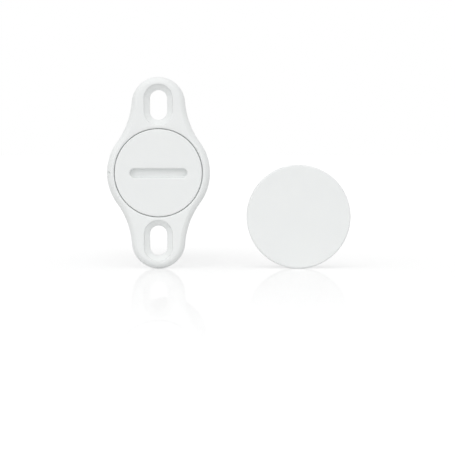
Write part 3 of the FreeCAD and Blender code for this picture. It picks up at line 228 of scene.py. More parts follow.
class Surface:
    """Corners and faces gathered for one piece."""

    def __init__(self):
        self.spots = []
        self.faces = []

    def loop(self, spots):
        """Adds corners and returns their numbers."""
        first = len(self.spots)
        self.spots.extend(spots)
        return list(range(first, len(self.spots)))

    def bridge(self, one, two):
        """Joins two loops that have the same number of corners."""
        for here in range(len(one)):
            on = (here + 1) % len(one)
            self.faces.append((one[here], one[on], two[on], two[here]))

    def stack(self, loops):
        """Joins each loop to the one after it."""
        for one, two in zip(loops, loops[1:]):
            self.bridge(one, two)

    def fan(self, loop, spot):
        """Closes a loop onto one corner."""
        tip = self.loop([spot])[0]
        for here in range(len(loop)):
            self.faces.append((loop[here], loop[(here + 1) % len(loop)], tip))

    def fill(self, outer, *holes):
        """Closes a flat face between a loop and the loops of its holes."""
        loops = [outer, *holes]
        numbers = [number for loop in loops for number in loop]
        shapes = [[self.spots[number] for number in loop] for loop in loops]
        for triangle in tessellate_polygon(shapes):
            self.faces.append(tuple(numbers[corner] for corner in triangle))


def along_y(radius, turn, along, centre):
    """A place round an axis that runs along Y."""
    return Vector((centre[0] + radius * math.cos(turn), along,
                   centre[1] + radius * math.sin(turn)))


def along_z(radius, turn, along, centre):
    """A place round an axis that runs along Z."""
    return Vector((centre[0] + radius * math.cos(turn),
                   centre[1] + radius * math.sin(turn), along))


def steps_between(start, finish, count):
    """Evenly spaced places from a start to a finish."""
    return [start + (finish - start) * index / count for index in range(count + 1)]


def even_turns(count):
    """Angles evenly spaced round a full turn."""
    return steps_between(0, FULL_TURN, count)[:-1]


# The most of a side that one rounded corner takes up
MOST_OF_SIDE = 0.49


def rounded(corners, steps=5):
    """A line of (along, radius, rounding) corners with each corner rounded by its own size."""
    line = []
    for index, (along, radius, size) in enumerate(corners):
        here = Vector((along, radius))
        if size == 0:
            line.append(here)
            continue
        back = Vector(corners[index - 1][:2]) - here
        on = Vector(corners[(index + 1) % len(corners)][:2]) - here
        half = back.angle(on) / 2
        reach = min(size / math.tan(half), back.length * MOST_OF_SIDE, on.length * MOST_OF_SIDE)
        size = reach * math.tan(half)
        middle = here + (back.normalized() + on.normalized()).normalized() * size / math.sin(half)
        start = here + back.normalized() * reach - middle
        finish = here + on.normalized() * reach - middle
        line.extend(middle + start.slerp(finish, step / steps).normalized() * size
                    for step in range(steps + 1))
    return line


def turned(surface, line, turns, centre=(0, 0), place=along_y, relief=None):
    """Turns a line of (along, radius) about an axis. A radius of nothing closes on a corner."""
    loops = []
    tips = []
    for along, radius in line:
        if radius < NO_RADIUS:
            tips.append((len(loops), place(0, 0, along, centre)))
            continue
        radii = [relief(along, radius, turn) if relief else radius for turn in turns]
        loops.append(surface.loop([place(size, turn, along, centre)
                                   for size, turn in zip(radii, turns)]))
    surface.stack(loops)
    for count, tip in tips:
        surface.fan(loops[0] if count == 0 else loops[-1], tip)
    return loops


def tube(surface, path, radius):
    """A round wire along a path, closed at both ends."""
    side = None
    loops = []
    for index, spot in enumerate(path):
        heading = (path[min(index + 1, len(path) - 1)] - path[max(index - 1, 0)]).normalized()
        if side is None:
            side = heading.orthogonal().normalized()
        side = (side - heading * side.dot(heading)).normalized()
        other = heading.cross(side)
        loops.append(surface.loop([spot + side * radius * math.cos(turn)
                                   + other * radius * math.sin(turn)
                                   for turn in even_turns(WIRE_SIDES)]))
    surface.stack(loops)
    surface.fan(loops[0], path[0])
    surface.fan(loops[-1], path[-1])


def box_shape(surface, lowest, highest, bevel):
    """A block with bevelled upright edges and a bevelled top."""
    left, front, foot = lowest
    right, back, top = highest
    middle = bevel * BEVEL_MIDDLE

    def corner_loop(inset, cut, up):
        """Adds the block's outline at a height, drawn in by an inset and cut at its corners."""
        return surface.loop([Vector(spot) for spot in (
            (left + inset + cut, front + inset, up), (right - inset - cut, front + inset, up),
            (right - inset, front + inset + cut, up), (right - inset, back - inset - cut, up),
            (right - inset - cut, back - inset, up), (left + inset + cut, back - inset, up),
            (left + inset, back - inset - cut, up), (left + inset, front + inset + cut, up))])

    loops = [corner_loop(0, bevel, foot), corner_loop(0, bevel, top - bevel),
             corner_loop(middle, bevel, top - middle), corner_loop(bevel, bevel, top)]
    surface.stack(loops)
    surface.fill(loops[0])
    surface.fill(loops[-1])


SHARP_ANGLE = math.radians(38)


def add_object(name, data):
    """An object of the scene that shows a mesh, a light or a camera."""
    item = bpy.data.objects.new(name, data)
    bpy.context.scene.collection.objects.link(item)
    return item


def make_piece(surface, name, material):
    """A mesh object made of a surface, with smooth faces and sharp corners kept."""
    mesh = bpy.data.meshes.new(name)
    mesh.from_pydata([spot * MM for spot in surface.spots], [], surface.faces)
    work = bmesh.new()
    work.from_mesh(mesh)
    bmesh.ops.remove_doubles(work, verts=work.verts, dist=SAME_PLACE)
    bmesh.ops.dissolve_degenerate(work, edges=work.edges, dist=SAME_PLACE)
    bmesh.ops.recalc_face_normals(work, faces=work.faces)
    for face in work.faces:
        face.smooth = True
    for edge in work.edges:
        if len(edge.link_faces) == 2:
            edge.smooth = edge.calc_face_angle() < SHARP_ANGLE
    work.to_mesh(mesh)
    work.free()
    mesh.materials.append(material)
    piece = add_object(name, mesh)
    weights = piece.modifiers.new("even_shading", "WEIGHTED_NORMAL")
    weights.keep_sharp = True
    return piece


def fit_piece(surface, name, material, body, slot, *nodes):
    """Makes a piece, sets it on its body and lets it stand for CAD nodes."""
    piece = make_piece(surface, name, material)
    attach(piece, body)
    if nodes:
        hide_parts(*nodes)
    return piece


def turned_piece(corners, columns, centre, *fitting):
    """A piece whose rounded outline is turned about an axis that runs along Y."""
    surface = Surface()
    turned(surface, rounded(corners), even_turns(columns), centre=centre)
    return fit_piece(surface, *fitting)


# Shared surface effects

def set_inputs(tree, node, inputs):
    """Sets a node's inputs, by title or place, to values or joins them to outputs."""
    for title, term in inputs.items():
        if isinstance(term, bpy.types.NodeSocket):
            tree.links.new(term, node.inputs[title])
        else:
            node.inputs[title].default_value = term


def add_node(tree, kind, inputs, **settings):
    """A new node of a kind, with its settings and its inputs."""
    node = tree.nodes.new(kind)
    for title, value in settings.items():
        setattr(node, title, value)
    set_inputs(tree, node, inputs)
    return node


def maths(tree, operation, first, second):
    """What two outputs or numbers come to."""
    return add_node(tree, "ShaderNodeMath", {0: first, 1: second}, operation=operation).outputs[0]


def between(tree, mask, lowest, highest):
    """A mask of nothing to one carried over to a range."""
    return add_node(tree, "ShaderNodeMapRange",
                    {"Value": mask, "To Min": lowest, "To Max": highest}).outputs[0]


def own_place(tree):
    """The object's own coordinates, in metres."""
    return tree.nodes.new("ShaderNodeTexCoord").outputs["Object"]


def noise(tree, scale, detail, squeeze=None):
    """Noise over the object's own coordinates, in cells per metre."""
    place = own_place(tree)
    if squeeze:
        place = add_node(tree, "ShaderNodeMapping",
                         {"Vector": place, "Scale": squeeze}).outputs["Vector"]
    return add_node(tree, "ShaderNodeTexNoise",
                    {"Vector": place, "Scale": scale, "Detail": detail}).outputs["Fac"]


def effect_group(name, scale_title, *defaults):
    """A node group with the sockets that every surface effect has."""
    tree = bpy.data.node_groups.new(name, "ShaderNodeTree")
    for title, default in zip((scale_title, "Sheen Low", "Sheen High"), defaults):
        socket = tree.interface.new_socket(title, in_out="INPUT", socket_type="NodeSocketFloat")
        socket.default_value = default
    for title in ("Height", "Sheen", "Clouding"):
        tree.interface.new_socket(title, in_out="OUTPUT", socket_type="NodeSocketFloat")
    return tree, tree.nodes.new("NodeGroupInput").outputs, tree.nodes.new("NodeGroupOutput")


def moulded_grain_group():
    """Fine spark-eroded grain of a moulded face, with slow changes in sheen."""
    tree, entry, leave = effect_group("moulded_grain", "Grain Scale", 6000.0, 0.4, 0.5)
    fine = noise(tree, entry["Grain Scale"], detail=3.0)
    flow = noise(tree, scale=130.0, detail=2.0)
    sheen = between(tree, flow, entry["Sheen Low"], entry["Sheen High"])
    set_inputs(tree, leave, {"Height": fine, "Sheen": sheen, "Clouding": flow})
    return tree


def drawn_metal_group():
    """Fine lines left by drawing or rolling, along the barrel's direction."""
    tree, entry, leave = effect_group("drawn_metal", "Line Scale", 4000.0, 0.2, 0.4)
    lines = noise(tree, entry["Line Scale"], detail=4.0, squeeze=(1.0, 0.03, 1.0))
    stain = noise(tree, scale=260.0, detail=3.0)
    both = maths(tree, "MULTIPLY", maths(tree, "ADD", lines, stain), 0.5)
    sheen = between(tree, both, entry["Sheen Low"], entry["Sheen High"])
    set_inputs(tree, leave, {"Height": lines, "Sheen": sheen, "Clouding": stain})
    return tree


GRAIN = moulded_grain_group()
DRAWN = drawn_metal_group()


def colour(red, green, blue):
    """A colour for a shader, from the 0 to 255 values that a screen shows."""
    return tuple(((part / 255 + 0.055) / 1.055) ** 2.4 if part > 10 else part / 255 / 12.92
                 for part in (red, green, blue)) + (1.0,)


def mixed(tree, share, first, second):
    """A colour between two: the first at a share of nothing and the second at a share of one."""
    return add_node(tree, "ShaderNodeMix", {"Factor": share, "A": first, "B": second},
                    data_type="RGBA").outputs["Result"]


BUMP_STRENGTH = 0.5


def finish(name, main, second, effect, scale, sheen, relief, metal=0.0, more=()):
    """A material whose colour, sheen and relief come from one shared effect."""
    material = bpy.data.materials.new(name)
    material.use_nodes = True
    tree = material.node_tree
    surface = add_node(tree, "ShaderNodeGroup",
                       {0: scale, "Sheen Low": sheen[0], "Sheen High": sheen[1]},
                       node_tree=effect).outputs
    bump = add_node(tree, "ShaderNodeBump", {"Strength": BUMP_STRENGTH, "Distance": relief * MM,
                                             "Height": surface["Height"]})
    set_inputs(tree, tree.nodes["Principled BSDF"], {
        "Base Color": mixed(tree, surface["Clouding"], colour(*main), colour(*second)),
        "Metallic": metal, "Roughness": surface["Sheen"], "Normal": bump.outputs["Normal"],
        **dict(more)})
    return material


# Materials

def shell_plastic():
    """Pale, slightly cool satin plastic of both halves."""
    return finish("shell_plastic", (239, 241, 240), (236, 238, 238), GRAIN, scale=9000.0,
                  sheen=(0.42, 0.5), relief=0.004,
                  more={"IOR": 1.46, "Specular IOR Level": 0.4})


def seal_rubber():
    return finish("seal_rubber", (28, 28, 29), (36, 36, 37), GRAIN, scale=5000.0, sheen=(0.45, 0.6),
                  relief=0.006)


def nickel_sheet():
    return finish("nickel_sheet", (205, 202, 194), (190, 187, 178), DRAWN, scale=5000.0,
                  sheen=(0.22, 0.36), relief=0.002, metal=1.0)


def spring_wire():
    return finish("spring_wire", (208, 207, 203), (188, 187, 183), DRAWN, scale=9000.0,
                  sheen=(0.16, 0.3), relief=0.002, metal=1.0)


def cell_steel():
    return finish("cell_steel", (200, 200, 197), (184, 184, 181), DRAWN, scale=6000.0,
                  sheen=(0.2, 0.34), relief=0.002, metal=1.0)


def cell_film():
    return finish("cell_film", (38, 62, 108), (30, 50, 92), GRAIN, scale=700.0,
                  sheen=(0.18, 0.28), relief=0.01, more={"Coat Weight": 0.3})


def cell_insulator():
    return finish("cell_insulator", (30, 30, 30), (42, 42, 42), GRAIN, scale=4000.0,
                  sheen=(0.5, 0.65), relief=0.006)


def carrier_plastic():
    return finish("carrier_plastic", (52, 53, 55), (60, 61, 63), GRAIN, scale=5000.0,
                  sheen=(0.5, 0.62), relief=0.008)


# The board's copper tracks in millimetres, and their soft edge and stagger as shares
TRACK_LENGTH = 6.5
TRACK_PITCH = 0.7
TRACK_WIDTH = 0.1
TRACK_SOFTNESS = 0.2
TRACK_STAGGER = 0.37


def board_laminate():
    """Green solder mask, with copper tracks that show faintly under it."""
    material = finish("board_laminate", (14, 92, 52), (18, 104, 60), GRAIN, scale=3000.0,
                      sheen=(0.2, 0.32), relief=0.004)
    tree = material.node_tree
    shader = tree.nodes["Principled BSDF"]
    tint = shader.inputs["Base Color"].links[0].from_socket
    turned_place = add_node(tree, "ShaderNodeMapping", {"Vector": own_place(tree),
                                                        "Rotation": (0, 0, math.pi / 2)})
    tracks = add_node(tree, "ShaderNodeTexBrick", {
        "Vector": turned_place.outputs["Vector"], "Scale": 1 / MM, "Brick Width": TRACK_LENGTH,
        "Row Height": TRACK_PITCH, "Mortar Size": TRACK_WIDTH, "Mortar Smooth": TRACK_SOFTNESS,
        "Color1": (0, 0, 0, 1), "Color2": (0, 0, 0, 1), "Mortar": (1, 1, 1, 1)},
        offset=TRACK_STAGGER)
    over = mixed(tree, tracks.outputs["Color"], tint, colour(34, 128, 74))
    set_inputs(tree, shader, {"Base Color": over})
    return material


def switch_case():
    return finish("switch_case", (34, 34, 35), (44, 44, 45), GRAIN, scale=8000.0, sheen=(0.4, 0.52),
                  relief=0.004)


def switch_key():
    return finish("switch_key", (190, 44, 36), (176, 38, 31), GRAIN, scale=8000.0,
                  sheen=(0.35, 0.45), relief=0.003)


def light_lens():
    return finish("light_lens", (238, 236, 220), (228, 226, 206), GRAIN, scale=3000.0,
                  sheen=(0.12, 0.2), relief=0.002, more={"Transmission Weight": 0.35})


def reed_glass():
    return finish("reed_glass", (214, 236, 222), (206, 230, 214), GRAIN, scale=900.0,
                  sheen=(0.02, 0.06), relief=0.002,
                  more={"Transmission Weight": 0.9, "IOR": 1.5})


def reed_metal():
    return finish("reed_metal", (206, 203, 190), (190, 186, 172), DRAWN, scale=9000.0,
                  sheen=(0.2, 0.32), relief=0.001, metal=1.0)


def chip_ceramic():
    return finish("chip_ceramic", (172, 142, 108), (158, 128, 96), GRAIN, scale=9000.0,
                  sheen=(0.5, 0.62), relief=0.004)


def tinned_metal():
    return finish("tinned_metal", (204, 204, 202), (180, 180, 178), GRAIN, scale=2500.0,
                  sheen=(0.2, 0.42), relief=0.01, metal=1.0)


def shield_metal():
    return finish("shield_metal", (198, 198, 195), (184, 184, 180), DRAWN, scale=5000.0,
                  sheen=(0.25, 0.4), relief=0.002, metal=1.0)


def chip_resin():
    return finish("chip_resin", (26, 26, 28), (34, 34, 36), GRAIN, scale=9000.0, sheen=(0.5, 0.6),
                  relief=0.006)


def crystal_can():
    return finish("crystal_can", (210, 206, 196), (196, 192, 182), DRAWN, scale=6000.0,
                  sheen=(0.2, 0.32), relief=0.001, metal=1.0)


def capacitor_can():
    return finish("capacitor_can", (214, 215, 217), (200, 201, 204), DRAWN, scale=6000.0,
                  sheen=(0.2, 0.34), relief=0.002, metal=1.0)


def copper_wire():
    return finish("copper_wire", (204, 128, 84), (184, 108, 70), DRAWN, scale=7000.0,
                  sheen=(0.2, 0.34), relief=0.002, metal=1.0)


def magnet_plating():
    return finish("magnet_plating", (200, 200, 202), (188, 188, 190), GRAIN, scale=3000.0,
                  sheen=(0.12, 0.22), relief=0.002, metal=1.0)


# Sensor half: the moulded flange and barrel

def arc(across, up, radius, turns):
    """Places round a centre, at a list of angles."""
    return [(across + math.cos(turn) * radius, up + math.sin(turn) * radius) for turn in turns]


def flange_loop(inset, along):
    """The flange's outline, drawn in by an inset: round middle, hollow flanks, round ends."""
    middle = FLANGE_RADIUS + FLANK_RADIUS
    end = END_RADIUS + FLANK_RADIUS
    height = (middle ** 2 - end ** 2 + END_HEIGHT ** 2) / (2 * END_HEIGHT)
    out = math.sqrt(middle ** 2 - height ** 2)
    lower = math.atan2(height, out)
    upper = math.atan2(height - END_HEIGHT, out)
    beside_mark = steps_between(0, MARK_SWEEP, MARK_COLUMNS)[:-1]
    rest = steps_between(MARK_SWEEP, lower, MIDDLE_STEPS)[:-1]
    flank = steps_between(math.pi + lower, math.pi + upper, FLANK_STEPS)[:-1]
    quarter = (arc(0, 0, FLANGE_RADIUS - inset, beside_mark + rest)
               + arc(out, height, FLANK_RADIUS + inset, flank)
               + arc(0, END_HEIGHT, END_RADIUS - inset,
                     steps_between(upper, math.pi / 2, END_STEPS)))
    half = quarter + [(-across, up) for across, up in reversed(quarter[1:-1])]
    half.append((-quarter[0][0], quarter[0][1]))
    whole = half + [(across, -up) for across, up in reversed(half[1:-1])]
    return [Vector((across, along, up)) for across, up in whole]


def slot_loop(width, length, along, height=0.0, upright=True, count=SLOT_COLUMNS):
    """A slot's outline with round ends."""
    radius = width / 2
    reach = (length - width) / 2
    spots = []
    for index in range(count):
        turn = FULL_TURN * (index + 0.5) / count
        side = radius * math.cos(turn)
        end = radius * math.sin(turn) + (reach if math.sin(turn) > 0 else -reach)
        spots.append(Vector((side, along, height + end)) if upright
                     else Vector((end, along, height - side)))
    return spots


def slot_wall(surface, width, length, line, **place):
    """The wall of a slot that widens along a line of (along, growth), as its loops."""
    loops = [surface.loop(slot_loop(width + 2 * grow, length + 2 * grow, along, **place))
             for along, grow in line]
    surface.stack(loops)
    return loops


# A crush rib is a round bar let into the barrel: how far out its middle lies, the angle that half
# of it takes up, and the angle of each rib
RIB_MIDDLE = BARREL_RADIUS + RIB_HEIGHT - RIB_SECTION
RIB_REACH = math.acos((BARREL_RADIUS ** 2 + RIB_MIDDLE ** 2 - RIB_SECTION ** 2)
                      / (2 * BARREL_RADIUS * RIB_MIDDLE))
RIBS = [math.pi / 2 + FULL_TURN * index / RIB_COUNT for index in range(RIB_COUNT)]


def rib_turns():
    """Angles round a ribbed barrel, closer together on each rib."""
    plain = FULL_TURN / RIB_COUNT - 2 * RIB_REACH
    turns = []
    for rib in RIBS:
        turns.extend(steps_between(rib - RIB_REACH, rib + RIB_REACH, 2 * RIB_STEPS))
        turns.extend(steps_between(rib + RIB_REACH, rib + RIB_REACH + plain, PLAIN_STEPS)[1:-1])
    return sorted(turn % FULL_TURN for turn in turns)


RIB_TURNS = rib_turns()


def ribbed_wall(along, radius, turn, length):
    """A barrel's wall, with crush ribs of a length on its outside."""
    if abs(radius - BARREL_RADIUS) >= NEAR:
        return radius
    offset = min(abs((turn - rib + math.pi) % FULL_TURN - math.pi) for rib in RIBS)
    if offset > RIB_REACH or not RIB_START <= along <= RIB_START + length:
        return radius
    ends = min(along - RIB_START, RIB_START + length - along) / RIB_TAPER
    crown = RIB_MIDDLE * math.cos(offset) + math.sqrt(
        max(RIB_SECTION ** 2 - (RIB_MIDDLE * math.sin(offset)) ** 2, 0))
    return radius + max(crown - BARREL_RADIUS, 0) * min(ends, 1)


def thread_height(along, turn, width, sweep_back, sweep_on):
    """How far into a thread's ridge or groove a place lies, from nothing to one."""
    best = 0.0
    for start in (0.0, math.pi):
        for whole in (-FULL_TURN, 0.0, FULL_TURN):
            offset = turn - start + whole
            if -sweep_back < offset < sweep_on:
                middle = LUG_PLACE - THREAD_LEAD * offset / FULL_TURN
                beyond = abs(along - middle) - width / 2
                ends = min(offset + sweep_back, sweep_on - offset) / THREAD_RAMP
                best = max(best, min(max(1 - beyond / LUG_FLANK, 0), 1, ends))
    return best


def barrel_wall(along, radius, turn):
    """The long barrel's wall: crush ribs outside and thread lugs in the mouth."""
    if abs(radius - MOUTH_RADIUS) < NEAR and along > SEAL_BACK:
        return radius - LUG_HEIGHT * thread_height(along, turn, LUG_WIDTH - 2 * LUG_FLANK,
                                                   LUG_SWEEP, LUG_SWEEP)
    return ribbed_wall(along, radius, turn, RIB_LENGTH)


def rib_rows(length):
    """Places along a barrel where its ribs change."""
    return [RIB_START, RIB_START + RIB_TAPER / 2, RIB_START + RIB_TAPER,
            RIB_START + length - RIB_TAPER, RIB_START + length - RIB_TAPER / 2,
            RIB_START + length]


def edge_depth(inset):
    """How far the flange's soft front edge lies behind its face, at an inset from the outline."""
    share = max(1 - inset / FLANGE_EDGE_WIDTH, 0)
    rise = (1 - share ** FLANGE_EDGE_CURVE) ** (1 / FLANGE_EDGE_CURVE)
    return FLANGE_EDGE_DEPTH * (1 - rise)


def flange_rim(surface):
    """Rows over the flange's front edge, pressed in at the alignment dimple."""
    insets = [FLANGE_EDGE_WIDTH * (1 - math.cos(math.pi / 2 * step / EDGE_ROWS))
              for step in range(EDGE_ROWS + 1)]
    insets += steps_between(MARK_INSET - MARK_RADIUS, MARK_INSET + MARK_RADIUS, MARK_ROWS)
    rim = []
    for inset in sorted(insets):
        spots = flange_loop(inset, FRONT + edge_depth(inset))
        for spot in spots:
            away = math.hypot(spot.x + FLANGE_RADIUS - MARK_INSET, spot.z) / MARK_RADIUS
            if away < 1:
                spot.y += MARK_DEPTH * min(1, MARK_STEEPNESS * (1 - away))
        rim.append(surface.loop(spots))
    return rim


def screw_slot(surface, height):
    """A countersunk slot through the flange, given back as its front and its back loop."""
    slope = rounded(((FRONT, COUNTERSINK + 1, 0), (FRONT, COUNTERSINK, SINK_EDGE),
                     (FRONT + SINK_STEP_DEPTH, COUNTERSINK - SINK_STEP_WIDTH, SINK_EDGE),
                     (FRONT + COUNTERSINK, 0, SINK_FOOT), (-EDGE, 0, 0), (0, EDGE, 0)))
    loops = slot_wall(surface, SLOT_WIDTH, SLOT_LENGTH, slope[1:], height=height)
    return loops[0], loops[-1]


def barrel_line():
    """The cap's recess, the mouth and the bore, and then the barrel's outside up to its root."""
    line = rounded(((FRONT, COUNTERBORE_RADIUS + 1, 0), (FRONT, COUNTERBORE_RADIUS, RECESS_EDGE),
                    (CAP_SEAT, COUNTERBORE_RADIUS, EDGE), (CAP_SEAT, MOUTH_RADIUS, EDGE),
                    (SEAL_BACK, MOUTH_RADIUS, 0)))
    line += [Vector((along, MOUTH_RADIUS))
             for along in steps_between(SEAL_BACK + SEAL_SIDE_GAP, MOUTH_END, MOUTH_ROWS)]
    line += rounded(((MOUTH_END + MOUTH_LEAD, BORE_RADIUS, 0),
                     (BARREL_BACK - EDGE, BORE_RADIUS, 0), (BARREL_BACK, BORE_RADIUS + EDGE, 0),
                     (BARREL_BACK, BARREL_RADIUS - LEAD_IN_STEP, EDGE),
                     (BARREL_BACK - LEAD_IN_LENGTH, BARREL_RADIUS, 0)))
    line += [Vector((along, BARREL_RADIUS)) for along in reversed(rib_rows(RIB_LENGTH))]
    line += [Vector((along, BARREL_RADIUS + out)) for along, out in ROOT_FILLET]
    return line[1:]


def flange_shell(material):
    """The flange and the long barrel, moulded in one."""
    surface = Surface()
    rim = flange_rim(surface)
    middle = EDGE * BEVEL_MIDDLE
    side = [surface.loop(flange_loop(EDGE, 0)), surface.loop(flange_loop(middle, -middle)),
            surface.loop(flange_loop(0, -EDGE))]
    surface.stack(side + rim)
    fronts, backs = zip(*[screw_slot(surface, height) for height in (SCREW_HEIGHT, -SCREW_HEIGHT)])
    barrel = turned(surface, barrel_line(), RIB_TURNS, relief=barrel_wall)
    surface.fill(rim[-1], barrel[0], *fronts)
    surface.fill(side[0], barrel[-1], *backs)
    return fit_piece(surface, "flange_shell", material, "sensor", "shell_plastic",
                     "flange_barrel")


# Sensor half: the battery cap and its sealing ring

def skirt_wall(along, radius, turn):
    """The cap's skirt, with two thread grooves that fit the mouth's lugs."""
    if abs(radius - SKIRT_RADIUS) > NEAR or along < SEAL_BACK:
        return radius
    width = LUG_WIDTH - 2 * LUG_FLANK + 2 * THREAD_GAP
    return radius - LUG_HEIGHT * thread_height(along, turn, width, math.pi,
                                               LUG_SWEEP + GROOVE_PAST_LUG)


def cap_line():
    """The cap's edge, the seal's groove, the skirt, and the hollow with its post."""
    groove_floor = SEAL_OUTSIDE - (SEAL_BACK - SEAL_FRONT) - SEAL_FLOOR_GAP
    groove_front = SEAL_FRONT - SEAL_SIDE_GAP
    groove_back = SEAL_BACK + SEAL_SIDE_GAP
    skirt_inside = SKIRT_RADIUS - SKIRT_WALL
    hollow = FRONT + CAP_WEB
    line = rounded(((FRONT, CAP_FACE_RADIUS - 1, 0), (FRONT, CAP_FACE_RADIUS, CAP_EDGE),
                    (CAP_UNDERSIDE, CAP_FACE_RADIUS, EDGE),
                    (CAP_UNDERSIDE, SKIRT_RADIUS, FINE_EDGE),
                    (groove_front, SKIRT_RADIUS, GROOVE_LIP),
                    (groove_front, groove_floor, FINE_EDGE),
                    (groove_back, groove_floor, FINE_EDGE), (groove_back, SKIRT_RADIUS, 0)))
    rows = steps_between(groove_back + SEAL_SIDE_GAP, SKIRT_END - FINE_EDGE, SKIRT_ROWS)
    line += [Vector((along, SKIRT_RADIUS)) for along in rows]
    line += rounded(((SKIRT_END, SKIRT_RADIUS - FINE_EDGE, 0), (SKIRT_END, skirt_inside, EDGE),
                     (hollow, skirt_inside, HOLLOW_EDGE), (hollow, POST_ROOT, HOLLOW_EDGE),
                     (SKIRT_END, POST_ROOT, FINE_EDGE), (SKIRT_END, POST_RADIUS, 0),
                     (POST_END, POST_RADIUS, FINE_EDGE), (POST_END, 0, 0)))
    return line[1:]


def coin_slot(surface):
    """The closed slot in the cap's face, given back as the loop at its rim."""
    floor = FRONT + COIN_DEPTH
    wall = rounded(((FRONT, COIN_EDGE + 1, 0), (FRONT, 0, COIN_EDGE),
                    (floor, 0, COIN_FLOOR_EDGE), (floor, -COIN_WIDTH / 2, 0)))
    loops = slot_wall(surface, COIN_WIDTH, COIN_LENGTH, wall[1:-1], height=-COIN_DROP,
                      upright=False, count=COIN_COLUMNS)
    surface.fill(loops[-1])
    return loops[0]


def cap_shell(material):
    """The screw cap, closed all round."""
    surface = Surface()
    loops = turned(surface, cap_line(), even_turns(CAP_COLUMNS), relief=skirt_wall)
    surface.fill(loops[0], coin_slot(surface))
    return fit_piece(surface, "cap_shell", material, "cap", "shell_plastic", "battery_cap")


def seal_ring(material):
    """The round sealing ring in the skirt's groove."""
    surface = Surface()
    wire = (SEAL_BACK - SEAL_FRONT) / 2
    middle = Vector(((SEAL_FRONT + SEAL_BACK) / 2, SEAL_OUTSIDE - wire))
    line = [middle + Vector((math.cos(turn), math.sin(turn))) * wire
            for turn in even_turns(SEAL_SIDES)]
    turned(surface, line + line[:1], even_turns(LARGE_COLUMNS))
    return fit_piece(surface, "seal_ring", material, "seal_ring", "seal_rubber", "cap_seal")


# Sensor half: the cell and its spring

CELL_CENTRE = (0, CELL_HEIGHT)
CELL_GAP = 0.01
CAN_EDGE = 0.6
BUTTON_LEDGE = 0.4
BUTTON_EDGE = 0.4
DISH_DEPTH = 0.15
DISH_RIM = CAN_RADIUS * 0.6
DISH_FLOOR = CAN_RADIUS * 0.55
RING_EDGE = 0.05

# The crimped groove round the can: its start, bottom and end behind the can's front, and its depth
CRIMP_START = 2.2
CRIMP_BOTTOM = 2.6
CRIMP_END = 3.0
CRIMP_DEPTH = 0.4
CRIMP_EDGE = 0.2

# The shrunk film: its bends at the can's rims, and how far it lies off the can's back
FILM = 0.08
FILM_CRIMP_DEPTH = 0.3
FILM_BEND = 0.65
FILM_INSIDE_BEND = 0.6
FILM_BACK = 0.08
FILM_BACK_GAP = 0.02
FILM_BACK_LIP = 1.2
FILM_FRONT_LIP = 0.5


def crimp(radius, depth, edge):
    """The corners of the crimped groove on a wall of a radius, from front to back."""
    return ((CAN_FRONT + CRIMP_START, radius, edge),
            (CAN_FRONT + CRIMP_BOTTOM, radius - depth, CRIMP_EDGE),
            (CAN_FRONT + CRIMP_END, radius, edge))


def cell_can(material):
    """The drawn can, with the crimped groove under its film."""
    return turned_piece(
        ((CAN_FRONT, 0, 0), (CAN_FRONT, BUTTON_RADIUS + BUTTON_LEDGE, 0),
         (CAN_FRONT, CAN_RADIUS, CAN_EDGE), *crimp(CAN_RADIUS, CRIMP_DEPTH, CRIMP_EDGE),
         (CAN_BACK, CAN_RADIUS, CAN_EDGE), (CAN_BACK, DISH_RIM, 0),
         (CAN_BACK - DISH_DEPTH, DISH_FLOOR, 0), (CAN_BACK - DISH_DEPTH, 0, 0)),
        LARGE_COLUMNS, CELL_CENTRE, "cell_can", material, "cell", "cell_steel", "battery_can")


def cell_button(material):
    """The positive button."""
    back = CAN_FRONT - CELL_GAP
    return turned_piece(
        ((BUTTON_TIP, 0, 0), (BUTTON_TIP, BUTTON_RADIUS, BUTTON_EDGE), (back, BUTTON_RADIUS, 0),
         (back, 0, 0)),
        SMALL_COLUMNS, CELL_CENTRE, "cell_button", material, "cell", "cell_steel",
        "battery_positive_button")


def cell_ring(material):
    """The insulating ring round the button."""
    back = CAN_FRONT - CELL_GAP
    inside = BUTTON_RADIUS + CELL_GAP
    return turned_piece(
        ((back, inside, 0), (RING_FRONT, inside, RING_EDGE), (RING_FRONT, RING_RADIUS, FINE_EDGE),
         (back, RING_RADIUS, 0), (back, inside, 0)),
        SMALL_COLUMNS, CELL_CENTRE, "cell_ring", material, "cell", "cell_insulator",
        "battery_top_ring")


def cell_sleeve(material):
    """The shrunk film: it is drawn over both rims of the can."""
    inside = SLEEVE_RADIUS - FILM
    front = CAN_FRONT - (inside - CAN_RADIUS)
    back = CAN_BACK + FILM_BACK_GAP
    front_lip = RING_RADIUS + FILM_FRONT_LIP
    back_lip = CAN_RADIUS - FILM_BACK_LIP
    return turned_piece(
        ((front - FILM, front_lip, 0), (front - FILM, SLEEVE_RADIUS, FILM_BEND),
         *crimp(SLEEVE_RADIUS, FILM_CRIMP_DEPTH, FINE_EDGE),
         (CAN_BACK + FILM_BACK, SLEEVE_RADIUS, FILM_BEND), (CAN_BACK + FILM_BACK, back_lip, 0),
         (back, back_lip, 0), (back, inside, FILM_INSIDE_BEND),
         *reversed(crimp(inside, FILM_CRIMP_DEPTH, FINE_EDGE)),
         (front, inside, FILM_INSIDE_BEND), (front, front_lip, 0), (front - FILM, front_lip, 0)),
        LARGE_COLUMNS, CELL_CENTRE, "cell_sleeve", material, "cell", "cell_film",
        "battery_sleeve")


SPRING_WIRE = 0.3
SPRING_SMALL = 2.6
SPRING_LARGE = 5.6
SPRING_TURNS = 3.5

# How flat the end turns lie, from not at all to fully
SPRING_FLATNESS = 0.6


